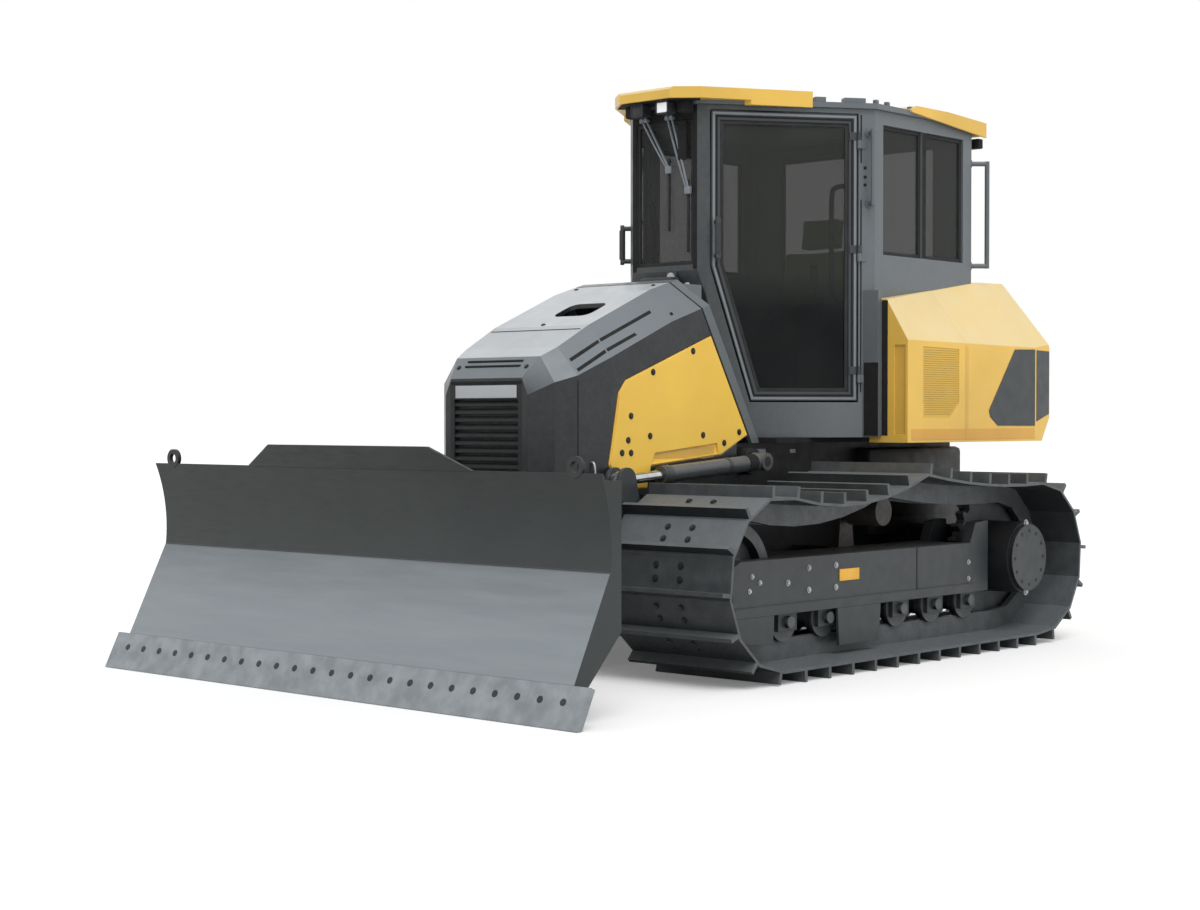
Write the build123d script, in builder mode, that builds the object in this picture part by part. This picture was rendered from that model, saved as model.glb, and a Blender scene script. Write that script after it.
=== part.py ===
from build123d import *

import os
from math import atan2, cos, degrees, radians, sin, sqrt

# A crawler dozer with a six-way blade, in millimetres.
# +X points forward, +Y to the operator's left, +Z up. The origin is on the ground,
# under the middle of the machine's overall length and width.

# ------------------------------------------------------------ fits and clearances
FIT = 0.3                   # between pieces that seat on each other
PIN_FIT = 0.05              # radial, between a pin and its bore
RUN = 5.0                   # between pieces that move past each other

# ------------------------------------------------------------ tracks
TRACK_Y = 985.0             # centre line of the left track
SHOE_WIDTH = 760.0
SHOE_COUNT = 38
SHOE_PLATE = 14.0
GROUSER_HEIGHT = 55.0
GROUSER_THICKNESS = 20.0
GROUSER_SETBACK = 12.0      # from a shoe's leading joint to its grouser
LINK_HEIGHT = 105.0         # from the shoe plate to the rail that the rollers run on
LINK_THICKNESS = 36.0
LINK_SPREAD = 150.0         # between the middles of the two rails
BUSHING_RADIUS = 22.0
IDLER_X = 620.0
SPROCKET_X = -1767.0
PATH_RADIUS = 410.0         # of the shoe plates' inner side round idler and sprocket
CARRIER_X = -600.0
CREST_Z = 960.0             # shoe plates' inner side over the carrier roller
FRONT_SAG = 95.0
REAR_SAG = 30.0

# ------------------------------------------------------------ undercarriage
FRAME_WIDTH = 330.0         # track frame, across
FRAME_FRONT_X = 750.0
FRAME_REAR_X = -1350.0
FRAME_BOTTOM_Z = 305.0
FRAME_TOP_Z = 575.0
IDLER_WIDTH = 140.0
IDLER_FORK_GAP = 150.0
IDLER_GAP = 9.0             # under the rails
IDLER_FLANGE = 14.0         # guide between the rails
IDLER_AXLE_RADIUS = 40.0
ROLLER_RADIUS = 84.0
ROLLER_FLANGE = 16.0
ROLLER_WIDTH = 226.0
ROLLER_COUNT = 6
ROLLER_FIRST_X = 280.0
ROLLER_SPACING = 330.0
ROLLER_SHAFT_RADIUS = 30.0
CARRIER_RADIUS = 75.0
CARRIER_SHAFT_RADIUS = 26.0
SPROCKET_WIDTH = 50.0
SPROCKET_TEETH = 27
SPROCKET_ROOT_GAP = 4.0     # between a bushing and the tooth root under it
TOOTH_HEIGHT = 34.0
HUB_RADIUS = 200.0
HUB_OUT_Y = 1270.0

# ------------------------------------------------------------ main frame
MAIN_HALF = 420.0
MAIN_FRONT_X = 1120.0
MAIN_BOTTOM_Z = 400.0
MAIN_PLATE = 30.0
SHELF_Z = 890.0             # top of the shelf that carries the hood
DECK_FRONT_X = -130.0
DECK_Z = 1127.0             # top of the deck under the cab and the rear hood
DECK_REAR_X = -2290.0
ENGINE_LENGTH = 900.0
ENGINE_WIDTH = 620.0
ENGINE_HEIGHT = 780.0
CROSS_BEAM_X = -800.0
CROSS_BEAM_SIZE = 200.0

# ------------------------------------------------------------ push frame and its lift
PUSH_PIVOT_X = -350.0
PUSH_PIVOT_Z = 450.0
PUSH_PIN_RADIUS = 45.0
ARM_Y = 548.0
ARM_WIDTH = 96.0
ARM_HEIGHT = 190.0
ARM_FRONT_X = 1480.0
LIFT_BASE_X = -250.0
LIFT_BASE_Z = 1030.0
LIFT_EYE_X = 870.0
LIFT_EYE_Z = 955.0
LIFT_BARREL_RADIUS = 46.0
LIFT_ROD_RADIUS = 27.0
LIFT_BARREL_LENGTH = 820.0  # from base pin to the gland's face
LIFT_PIN_RADIUS = 27.0

# ------------------------------------------------------------ angling yoke
KING_X = 1700.0
KING_RADIUS = 42.0
NOSE_RADIUS = 82.0
YOKE_FRONT_X = 1870.0
YOKE_BEAM = 80.0
YOKE_HALF = 470.0
ANGLE_BASE_X = 1120.0
ANGLE_BASE_Y = 555.0
ANGLE_EYE_X = 1830.0
ANGLE_EYE_Y = 420.0
ANGLE_Z = 662.0
ANGLE_BARREL_RADIUS = 40.0
ANGLE_ROD_RADIUS = 22.0
ANGLE_BARREL_LENGTH = 500.0
ANGLE_PIN_RADIUS = 22.0

# ------------------------------------------------------------ blade
TIP_X = 2350.0
TIP_Z = 2.0
BLADE_HALF = 1530.0
EDGE_HALF = 1625.0
CREASE_X = 2044.0
CREASE_Z = 620.0
TOP_X = 2106.0
TOP_Z = 1030.0
CURL_X = 2048.0             # how far back the upper curl reaches
MOLD_PLATE = 20.0
EDGE_DEPTH = 190.0          # cutting edge, along the blade's face
EDGE_THICKNESS = 26.0
END_BIT_LENGTH = 330.0
SPILL_Z = 1134.0
SPILL_X = 2168.0
SPILL_TOP_HALF = 549.0
SPILL_BASE_HALF = 781.0
TILT_Z = 460.0
TILT_PIN_RADIUS = 60.0
TILT_BASE_Y = -290.0
TILT_EYE_Y = 330.0
TILT_CYLINDER_Z = 830.0
TILT_CYLINDER_X = 1908.0
TILT_BARREL_RADIUS = 34.0
TILT_ROD_RADIUS = 20.0
TILT_BARREL_LENGTH = 400.0
TILT_PIN = 20.0
LIFT_RING_Y = 1385.0
LIFT_RING_RADIUS = 46.0
LIFT_RING_BORE = 24.0

# ------------------------------------------------------------ hood
HOOD_WALL = 24.0
HOOD_FRONT_X = 1250.0
PANEL_THICKNESS = 14.0
PANEL_SHADOW = 4.0
GRILLE_HALF = 250.0
GRILLE_BOTTOM_Z = 940.0
GRILLE_TOP_Z = 1440.0
GRILLE_BARS = 10
BADGE_HEIGHT = 60.0

# ------------------------------------------------------------ cab
CAB_FRONT_X = -109.0
CAB_REAR_X = -1930.0
CAB_HALF = 820.0
CAB_BASE_Z = 1155.0
CAB_TOP_Z = 2930.0
CAB_WALL = 45.0
CAB_CORNER = 50.0
POST_Y = 228.0              # outer edge of the windshield wall
DOOR_START = Vector(-139, 268)  # foot of the door wall at the front post, in plan
DOOR_ANGLE = 35.8           # door wall against the X axis
COWL_Z = 2050.0             # where the front wall starts to slope back
COWL_FOOT_X = -290.0
DOOR_FRONT_S = 18.0         # along the door wall from its front end
DOOR_REAR_S = 850.0
DOOR_BOTTOM_Z = 1345.0
DOOR_TOP_Z = CAB_TOP_Z - 25
DOOR_BREAK_Z = 2070.0
DOOR_FOOT_S = 240.0
DOOR_THICKNESS = 40.0
DOOR_FRAME = 48.0
GLASS = 6.0
FLOOR_Z = 1300.0
ROOF_THICKNESS = 30.0
ROOF_OVERHANG = 22.0
VISOR_X = 60.0
VISOR_HALF = 175.0
COVER_THICKNESS = 40.0
COVER_FLANGE = 12.0
COVER_FRONT_X = -1210.0

# ------------------------------------------------------------ rear body
FENDER_Y = 1050.0
FENDER_FRONT_X = -880.0
FENDER_SPLIT_X = -1455.0
REAR_X = -2400.0
REAR_TOP_X = -2222.0
BODY_BOTTOM_Z = DECK_Z + FIT

TUBE_RADIUS = 14.0

# ---- panels, rear hood and fittings
PANEL_PROUD = 6.0
PANEL_RECESS = ((30, 1075), (560, 1030), (540, 1085), (40, 1130))
GRILLE_RIM = 28.0
EXHAUST_X, EXHAUST_Y = 645.0, 75.0
EXHAUST_RADIUS = 56.0
EXHAUST_FOOT_Z = 1300.6     # on the engine block
EXHAUST_LENGTH = 480.0
VENT_OUTLINE = ((-1032, 1263), (-1030, 1646), (-1389, 1640), (-1390, 1343), (-1302, 1263))
RECESS_SIZE = (70.0, 480.0)
RECESS_DEPTH = 10.0
RECESS_IN = 51.0            # its middle from the fender's side and from its foot
RECESS_UP = 285.0
REAR_TAPER_X = -2211.0      # where the sides start to draw in
REAR_TAPER = 16.0
HEEL_LENGTH = 100.0
HEEL_HEIGHT = 135.0
REAR_GRILLE_SIZE = (1240.0, 350.0)
REAR_GRILLE_MID_Z = 1455.0
REAR_GRILLE_DEPTH = 40.0
REAR_LOUVRES = 8
RAIL_STANDOFF = 62.0
CORNER_RAIL_STANDOFF = 100.0
POST_RAIL_S = 912.0
LAMP_WIDTH = 86.0
LAMP_HEIGHT = 70.0
LAMP_DEPTH = 70.0


def write(piece, name):
    """Label a finished piece and write its STEP file."""
    piece.label = name
    export_step(piece, f"parts/{name}.step")


def write_pair(piece, stem):
    """Write a left piece and its mirror image on the right."""
    write(piece, f"{stem}_left")
    write(piece.mirror(Plane.XZ), f"{stem}_right")


def side(y):
    """Vertical plane at y whose sketch axes are X and Z, with its normal inward (-Y)."""
    return Plane(origin=(0, y, 0), x_dir=(1, 0, 0), z_dir=(0, -1, 0))


def cross(x):
    """Vertical plane at x whose sketch axes are Y and Z, with its normal forward."""
    return Plane(origin=(x, 0, 0), x_dir=(0, 1, 0), z_dir=(1, 0, 0))


os.makedirs("parts", exist_ok=True)

# ============================================================ track
wheel_z = SHOE_PLATE + GROUSER_HEIGHT + PATH_RADIUS
crest = Vector(CARRIER_X, CREST_Z)
sprocket_top = Vector(SPROCKET_X, wheel_z + PATH_RADIUS)
sprocket_bottom = Vector(SPROCKET_X, wheel_z - PATH_RADIUS)
idler_bottom = Vector(IDLER_X, wheel_z - PATH_RADIUS)
idler_top = Vector(IDLER_X, wheel_z + PATH_RADIUS)

with BuildLine() as track_path:
    SagittaArc(crest, sprocket_top, REAR_SAG)
    ThreePointArc(sprocket_top, (SPROCKET_X - PATH_RADIUS, wheel_z), sprocket_bottom)
    Line(sprocket_bottom, idler_bottom)
    ThreePointArc(idler_bottom, (IDLER_X + PATH_RADIUS, wheel_z), idler_top)
    SagittaArc(idler_top, crest, FRONT_SAG)

path_wire = track_path.wires()[0]
joints = [path_wire.position_at(i / SHOE_COUNT) for i in range(SHOE_COUNT)]
shoe_pitch = path_wire.length / SHOE_COUNT


def outward(start, end):
    """Unit normal of a stretch of the loop, pointing away from the loop."""
    along = (end - start).normalized()
    return Vector(along.Y, -along.X)


def loop_offset(distance):
    """The loop's joints moved outward by a distance, mitred between the two shoes."""
    moved = []
    for i, joint in enumerate(joints):
        before = outward(joints[i - 1], joint)
        after = outward(joint, joints[(i + 1) % SHOE_COUNT])
        mitre = (before + after).normalized()
        moved.append(joint + mitre * (distance / mitre.dot(after)))
    return moved


shoe_outline = []
for i, corner in enumerate(loop_offset(SHOE_PLATE)):
    start, end = joints[i], joints[(i + 1) % SHOE_COUNT]
    along, normal = (end - start).normalized(), outward(start, end)
    heel = start + along * GROUSER_SETBACK
    toe = heel + along * GROUSER_THICKNESS
    tip = SHOE_PLATE + GROUSER_HEIGHT
    shoe_outline += [
        corner,
        heel + normal * SHOE_PLATE,
        heel + normal * tip,
        toe + normal * tip,
        toe + normal * SHOE_PLATE,
    ]

with BuildPart() as track:
    with BuildSketch(side(TRACK_Y)):
        Polygon(*shoe_outline, align=None)
        Polygon(*joints, align=None, mode=Mode.SUBTRACT)
    extrude(amount=SHOE_WIDTH / 2, both=True)
    for rail_y in (TRACK_Y - LINK_SPREAD / 2, TRACK_Y + LINK_SPREAD / 2):
        with BuildSketch(side(rail_y)):
            Polygon(*joints, align=None)
            Polygon(*loop_offset(-LINK_HEIGHT), align=None, mode=Mode.SUBTRACT)
        extrude(amount=LINK_THICKNESS / 2, both=True)
    with BuildSketch(side(TRACK_Y)):
        with Locations(*[(p.X, p.Y) for p in loop_offset(-LINK_HEIGHT / 2)]):
            RegularPolygon(BUSHING_RADIUS, 6)
    extrude(amount=LINK_SPREAD / 2, both=True)
write_pair(track.part, "track")

# ============================================================ idler, sprocket, rollers
half_step = shoe_pitch / PATH_RADIUS / 2
rail_out = LINK_SPREAD / 2 + LINK_THICKNESS / 2
rail_in = LINK_SPREAD / 2 - LINK_THICKNESS / 2
rail_radius = PATH_RADIUS * cos(half_step) - LINK_HEIGHT
idler_radius = rail_radius - IDLER_GAP

with BuildPart() as idler:
    with BuildSketch(side(TRACK_Y)):
        Circle(idler_radius)
        Circle(idler_radius - 60, mode=Mode.SUBTRACT)
        Circle(110)
    extrude(amount=IDLER_WIDTH / 2, both=True)
    with BuildSketch(side(TRACK_Y)):
        Circle(idler_radius - 40)
    extrude(amount=14, both=True)
    with BuildSketch(side(TRACK_Y)):
        Circle(idler_radius + IDLER_FLANGE)
        Circle(idler_radius - 40, mode=Mode.SUBTRACT)
    extrude(amount=rail_in - 9, both=True)
    with BuildSketch(side(TRACK_Y)):
        Circle(IDLER_AXLE_RADIUS)
    extrude(amount=IDLER_FORK_GAP / 2 - FIT, both=True)
idler_left = Pos(IDLER_X, 0, wheel_z) * idler.part

bushing_ring = PATH_RADIUS - LINK_HEIGHT / 2
root_radius = bushing_ring - BUSHING_RADIUS - SPROCKET_ROOT_GAP
tip_radius = root_radius + TOOTH_HEIGHT
tooth_angle = 360 / SPROCKET_TEETH
bushings = loop_offset(-LINK_HEIGHT / 2)
first_bushing = min(bushings, key=lambda p: p.X)
sprocket_phase = degrees(atan2(first_bushing.Y - wheel_z, first_bushing.X - SPROCKET_X))


def polar(radius, angle):
    """Sketch point at a radius and an angle in degrees."""
    return (radius * cos(radians(angle)), radius * sin(radians(angle)))


sprocket_outline = []
for i in range(SPROCKET_TEETH):
    middle = sprocket_phase + (i + 0.5) * tooth_angle
    sprocket_outline += [
        polar(root_radius, middle - 0.30 * tooth_angle),
        polar(tip_radius, middle - 0.12 * tooth_angle),
        polar(tip_radius, middle + 0.12 * tooth_angle),
        polar(root_radius, middle + 0.30 * tooth_angle),
    ]

with BuildPart() as sprocket:
    with BuildSketch(side(TRACK_Y)):
        Polygon(*sprocket_outline, align=None)
        Circle(HUB_RADIUS + FIT, mode=Mode.SUBTRACT)
        with Locations(*[(p.X - SPROCKET_X, p.Y - wheel_z) for p in bushings]):
            Circle(BUSHING_RADIUS + SPROCKET_ROOT_GAP, mode=Mode.SUBTRACT)
    extrude(amount=SPROCKET_WIDTH / 2, both=True)
sprocket_left = Pos(SPROCKET_X, 0, wheel_z) * sprocket.part

with BuildPart() as final_drive:
    with BuildSketch(side(HUB_OUT_Y)):
        Circle(HUB_RADIUS - 22)
    extrude(amount=20)
    with BuildSketch(side(HUB_OUT_Y - 20)):
        Circle(HUB_RADIUS)
    extrude(amount=HUB_OUT_Y - 20 - TRACK_Y + SPROCKET_WIDTH / 2)
    with BuildSketch(side(TRACK_Y - SPROCKET_WIDTH / 2 - FIT)):
        Circle(HUB_RADIUS + 40)
    extrude(amount=60)
    with BuildSketch(side(TRACK_Y - SPROCKET_WIDTH / 2)):
        Circle(HUB_RADIUS - 30)
    extrude(amount=TRACK_Y - SPROCKET_WIDTH / 2 - MAIN_HALF - FIT)
final_drive_left = Pos(SPROCKET_X, 0, wheel_z) * final_drive.part

rail_bottom_z = SHOE_PLATE + GROUSER_HEIGHT + LINK_HEIGHT
roller_z = rail_bottom_z + ROLLER_RADIUS + FIT

with BuildPart() as roller:
    with BuildSketch(Plane.XY):
        Polygon(
            (0, 0),
            (ROLLER_SHAFT_RADIUS * 2, 0),
            (ROLLER_SHAFT_RADIUS * 2, rail_in - 4),
            (ROLLER_RADIUS, rail_in - 4),
            (ROLLER_RADIUS, rail_out + 2),
            (ROLLER_RADIUS + ROLLER_FLANGE, rail_out + 2),
            (ROLLER_RADIUS + ROLLER_FLANGE, ROLLER_WIDTH / 2),
            (ROLLER_SHAFT_RADIUS, ROLLER_WIDTH / 2),
            (ROLLER_SHAFT_RADIUS, FRAME_WIDTH / 2 - RUN),
            (0, FRAME_WIDTH / 2 - RUN),
            align=None,
        )
    revolve(axis=Axis.Y)
    mirror(about=Plane.XZ)
rollers_left = Compound(
    [
        Pos(ROLLER_FIRST_X - i * ROLLER_SPACING, TRACK_Y, roller_z) * roller.part
        for i in range(ROLLER_COUNT)
    ]
)

crest_slope = max(
    abs(atan2(end.Y - crest.Y, abs(end.X - crest.X))) for end in (joints[1], joints[-1])
)
carrier_z = CREST_Z - (CARRIER_RADIUS + LINK_HEIGHT + FIT) / cos(crest_slope)
carrier_post_y = TRACK_Y - FRAME_WIDTH / 2 + 15
with BuildPart() as carrier_roller:
    with BuildSketch(Plane(origin=(CARRIER_X, 0, carrier_z), x_dir=(1, 0, 0), z_dir=(0, -1, 0))):
        Circle(CARRIER_RADIUS)
    extrude(amount=rail_out + 10, both=True)
    with BuildSketch(side(carrier_post_y - TRACK_Y)):
        with Locations((CARRIER_X, carrier_z)):
            Circle(CARRIER_SHAFT_RADIUS)
    extrude(amount=-(TRACK_Y - carrier_post_y))
    with BuildSketch(side(carrier_post_y - TRACK_Y + 15)):
        Polygon(
            (CARRIER_X - 70, FRAME_TOP_Z + FIT),
            (CARRIER_X + 70, FRAME_TOP_Z + FIT),
            (CARRIER_X + 42, carrier_z + 42),
            (CARRIER_X - 42, carrier_z + 42),
            align=None,
        )
    extrude(amount=30)
carrier_left = Pos(0, TRACK_Y, 0) * carrier_roller.part

for stem, left_piece in (
    ("idlers", idler_left),
    ("sprockets", sprocket_left),
    ("final_drives", final_drive_left),
    ("track_rollers", rollers_left),
    ("carrier_rollers", carrier_left),
):
    both_sides = Compound([*left_piece.solids(), *left_piece.mirror(Plane.XZ).solids()])
    write(both_sides, stem)

# ============================================================ track frame
frame_out_y = TRACK_Y + FRAME_WIDTH / 2
bracket_top = FRAME_BOTTOM_Z + 6
with BuildPart() as track_frame:
    with BuildSketch(side(TRACK_Y)):
        Polygon(
            (FRAME_FRONT_X, FRAME_BOTTOM_Z),
            (FRAME_FRONT_X, FRAME_TOP_Z - 30),
            (FRAME_FRONT_X - 60, FRAME_TOP_Z),
            (FRAME_REAR_X, FRAME_TOP_Z),
            (FRAME_REAR_X - 50, wheel_z + 205),
            (FRAME_REAR_X - 180, wheel_z + 215),
            (FRAME_REAR_X - 180, FRAME_BOTTOM_Z),
            align=None,
        )
    extrude(amount=FRAME_WIDTH / 2, both=True)
    # lower ledge along the outer and inner faces
    with BuildSketch(side(TRACK_Y)):
        Polygon(
            (FRAME_FRONT_X, FRAME_BOTTOM_Z),
            (FRAME_FRONT_X, FRAME_BOTTOM_Z + 46),
            (FRAME_REAR_X, FRAME_BOTTOM_Z + 46),
            (FRAME_REAR_X, FRAME_BOTTOM_Z),
            align=None,
        )
    extrude(amount=FRAME_WIDTH / 2 + 14, both=True)
    # slots for the idler in front and for sprocket and links behind
    with BuildSketch(side(TRACK_Y)):
        Polygon(
            (IDLER_X - idler_radius - 20, 0),
            (IDLER_X + idler_radius, 0),
            (IDLER_X + idler_radius, 1000),
            (IDLER_X - idler_radius - 20, 1000),
            align=None,
        )
    extrude(amount=IDLER_FORK_GAP / 2, both=True, mode=Mode.SUBTRACT)
    with BuildSketch(side(TRACK_Y)):
        Polygon(
            (FRAME_REAR_X + 25, 0),
            (FRAME_REAR_X + 25, 1000),
            (FRAME_REAR_X - 300, 1000),
            (FRAME_REAR_X - 300, 0),
            align=None,
        )
    extrude(amount=rail_out + 12, both=True, mode=Mode.SUBTRACT)
    # channel that the rollers sit in
    with BuildSketch(side(TRACK_Y)):
        Polygon(
            (ROLLER_FIRST_X + 115, 0),
            (ROLLER_FIRST_X + 115, roller_z + ROLLER_RADIUS + ROLLER_FLANGE + RUN),
            (FRAME_REAR_X - 300, roller_z + ROLLER_RADIUS + ROLLER_FLANGE + RUN),
            (FRAME_REAR_X - 300, 0),
            align=None,
        )
    extrude(amount=ROLLER_WIDTH / 2 + FIT, both=True, mode=Mode.SUBTRACT)
    # roller brackets, one pair a roller
    with BuildSketch(Plane.XY.offset(bracket_top)):
        for i in range(ROLLER_COUNT):
            x = ROLLER_FIRST_X - i * ROLLER_SPACING
            for y in (-1, 1):
                with Locations((x, TRACK_Y + y * (ROLLER_WIDTH / 2 + FIT + 12))):
                    Rectangle(150, 24)
    extrude(amount=-(bracket_top - roller_z + 44))
    with BuildSketch(side(TRACK_Y)):
        with Locations(
            *[(ROLLER_FIRST_X - i * ROLLER_SPACING, roller_z) for i in range(ROLLER_COUNT)]
        ):
            Circle(ROLLER_SHAFT_RADIUS + PIN_FIT)
    extrude(amount=FRAME_WIDTH, both=True, mode=Mode.SUBTRACT)
    # bolted guards below the frame: front and middle
    with BuildSketch(side(frame_out_y + 12)):
        Polygon(
            (FRAME_FRONT_X, FRAME_BOTTOM_Z + 2),
            (FRAME_FRONT_X - 40, FRAME_BOTTOM_Z - 120),
            (FRAME_FRONT_X - 300, FRAME_BOTTOM_Z - 145),
            (FRAME_FRONT_X - 310, FRAME_BOTTOM_Z + 2),
            align=None,
        )
        Polygon(
            (-84, FRAME_BOTTOM_Z + 2),
            (-100, FRAME_BOTTOM_Z - 190),
            (-450, FRAME_BOTTOM_Z - 190),
            (-466, FRAME_BOTTOM_Z + 2),
            align=None,
        )
    extrude(amount=14)
write_pair(track_frame.part, "track_frame")

# ============================================================ main frame
HOOD_SECTIONS = (
    # x, half width on top, half width of the sides, top z, shoulder z
    (HOOD_FRONT_X, 246, 285, 1455, 1372),
    (1165, 290, 385, 1560, 1432),
    (1075, 318, 455, 1606, 1466),
    (860, 330, 480, 1722, 1558),
    (400, 330, 480, 1915, 1748),
    (80, 330, 480, 2008, 1850),
    (-130, 330, 480, 2046, 1895),
)
shelf_half = [(x - FIT, half_side) for x, _, half_side, _, _ in HOOD_SECTIONS[:-1]]
shelf_plan = [(DECK_FRONT_X, HOOD_SECTIONS[-1][2])] + shelf_half[::-1]
main_lower_rear_x = SPROCKET_X - 313

with BuildPart() as main_frame:
    with BuildSketch(side(0)):
        Polygon(
            (MAIN_FRONT_X - 120, MAIN_BOTTOM_Z),
            (MAIN_FRONT_X, MAIN_BOTTOM_Z + 90),
            (MAIN_FRONT_X, SHELF_Z),
            (DECK_FRONT_X, SHELF_Z),
            (DECK_FRONT_X, DECK_Z),
            (DECK_REAR_X, DECK_Z),
            (DECK_REAR_X, DECK_Z - 150),
            (main_lower_rear_x, 700),
            (main_lower_rear_x, MAIN_BOTTOM_Z + 60),
            (main_lower_rear_x + 60, MAIN_BOTTOM_Z),
            align=None,
        )
    extrude(amount=MAIN_HALF, both=True)
    # shelf under the hood's edge, following its plan
    with BuildSketch(Plane.XY.offset(SHELF_Z - MAIN_PLATE / 2)):
        Polygon(*shelf_plan, *[(x, -y) for x, y in shelf_plan[::-1]], align=None)
    extrude(amount=MAIN_PLATE / 2)
    # engine bay, open above
    bay_length = MAIN_FRONT_X - DECK_FRONT_X - 2 * MAIN_PLATE
    with BuildSketch(Plane.XY.offset(SHELF_Z)):
        with Locations((DECK_FRONT_X + MAIN_PLATE + bay_length / 2, 0)):
            Rectangle(bay_length, 2 * (MAIN_HALF - MAIN_PLATE))
    extrude(amount=-(SHELF_Z - MAIN_BOTTOM_Z - 4 * MAIN_PLATE), mode=Mode.SUBTRACT)
    # beams out to the track frames
    with BuildSketch(side(TRACK_Y - FRAME_WIDTH / 2 - FIT)):
        with Locations((CROSS_BEAM_X, (FRAME_BOTTOM_Z + 46 + FRAME_TOP_Z) / 2)):
            Rectangle(CROSS_BEAM_SIZE, CROSS_BEAM_SIZE)
    extrude(amount=2 * (TRACK_Y - FRAME_WIDTH / 2 - FIT))
    # pivots of the push frame and of the lift cylinders
    for pivot_x, pivot_z, boss, pin, half_width in (
        (PUSH_PIVOT_X, PUSH_PIVOT_Z, 100, PUSH_PIN_RADIUS, ARM_WIDTH / 2),
        (LIFT_BASE_X, LIFT_BASE_Z, 72, LIFT_PIN_RADIUS, LIFT_BARREL_RADIUS),
    ):
        for toward in (-1, 1):
            boss_out = ARM_Y - half_width - RUN
            with BuildSketch(side(toward * MAIN_HALF)):
                with Locations((pivot_x, pivot_z)):
                    Circle(boss)
            extrude(amount=-toward * (boss_out - MAIN_HALF))
            with BuildSketch(side(toward * boss_out)):
                with Locations((pivot_x, pivot_z)):
                    Circle(pin)
            extrude(amount=-toward * (2 * half_width + RUN))
    # rubber-bushed posts under the cab
    with BuildSketch(Plane.XY.offset(DECK_Z)):
        with Locations((-430, 330), (-430, -330), (-1780, 330), (-1780, -330)):
            Circle(48)
    extrude(amount=CAB_BASE_Z - DECK_Z - FIT)
write(main_frame.part, "main_frame")

with BuildPart() as engine_block:
    with BuildSketch(Plane.XY.offset(MAIN_BOTTOM_Z + 4 * MAIN_PLATE + FIT)):
        with Locations((DECK_FRONT_X + MAIN_PLATE + 60 + ENGINE_LENGTH / 2, 0)):
            Rectangle(ENGINE_LENGTH, ENGINE_WIDTH)
    extrude(amount=ENGINE_HEIGHT)
    chamfer(engine_block.edges().filter_by(Axis.X).group_by(Axis.Z)[-1], 90)
write(engine_block.part, "engine_block")

DRAWBAR_HALF = 70.0
DRAWBAR_BORE = 21.0
DRAWBAR_SLOT = 60.0
drawbar_low, drawbar_high = MAIN_BOTTOM_Z + 80, MAIN_BOTTOM_Z + 240
drawbar_pin_x = main_lower_rear_x - 185
with BuildPart() as drawbar:
    with BuildSketch(Plane.XY.offset(drawbar_low)):
        with Locations((drawbar_pin_x, 0)):
            Circle(DRAWBAR_HALF)
        with Locations(((main_lower_rear_x - FIT + drawbar_pin_x) / 2, 0)):
            Rectangle(main_lower_rear_x - FIT - drawbar_pin_x, 2 * DRAWBAR_HALF)
    extrude(amount=drawbar_high - drawbar_low)
    with BuildSketch(Plane.XY.offset((drawbar_low + drawbar_high - DRAWBAR_SLOT) / 2)):
        with Locations((drawbar_pin_x - 20, 0)):
            Rectangle(2 * DRAWBAR_HALF + 60, 2 * DRAWBAR_HALF + 2)
    extrude(amount=DRAWBAR_SLOT, mode=Mode.SUBTRACT)
    with BuildSketch(Plane.XY.offset(drawbar_low)):
        with Locations((drawbar_pin_x, 0)):
            Circle(DRAWBAR_BORE)
    extrude(amount=drawbar_high - drawbar_low, mode=Mode.SUBTRACT)
write(drawbar.part, "drawbar")

# ============================================================ push frame
ROD_EYE_WIDTH = 54.0
ROD_EYE_RADIUS = 50.0
LIFT_EYE_DRIFT = 28.0       # how far the lift rod's eye leaves its pin as the arms swing
EYE_PLAY = 8.0              # open play at a rod's eye, for the linkage's drift
EYE_GAP = 3.0               # beside an eye, between its ears
arm_in_y, arm_out_y = ARM_Y - ARM_WIDTH / 2, ARM_Y + ARM_WIDTH / 2
arm_low_z, arm_high_z = TILT_Z - ARM_HEIGHT / 2, TILT_Z + ARM_HEIGHT / 2
nose_low_z, nose_high_z = TILT_Z - 75, TILT_Z + 75
ANGLE_EYE_WIDTH = 50.0

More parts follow.
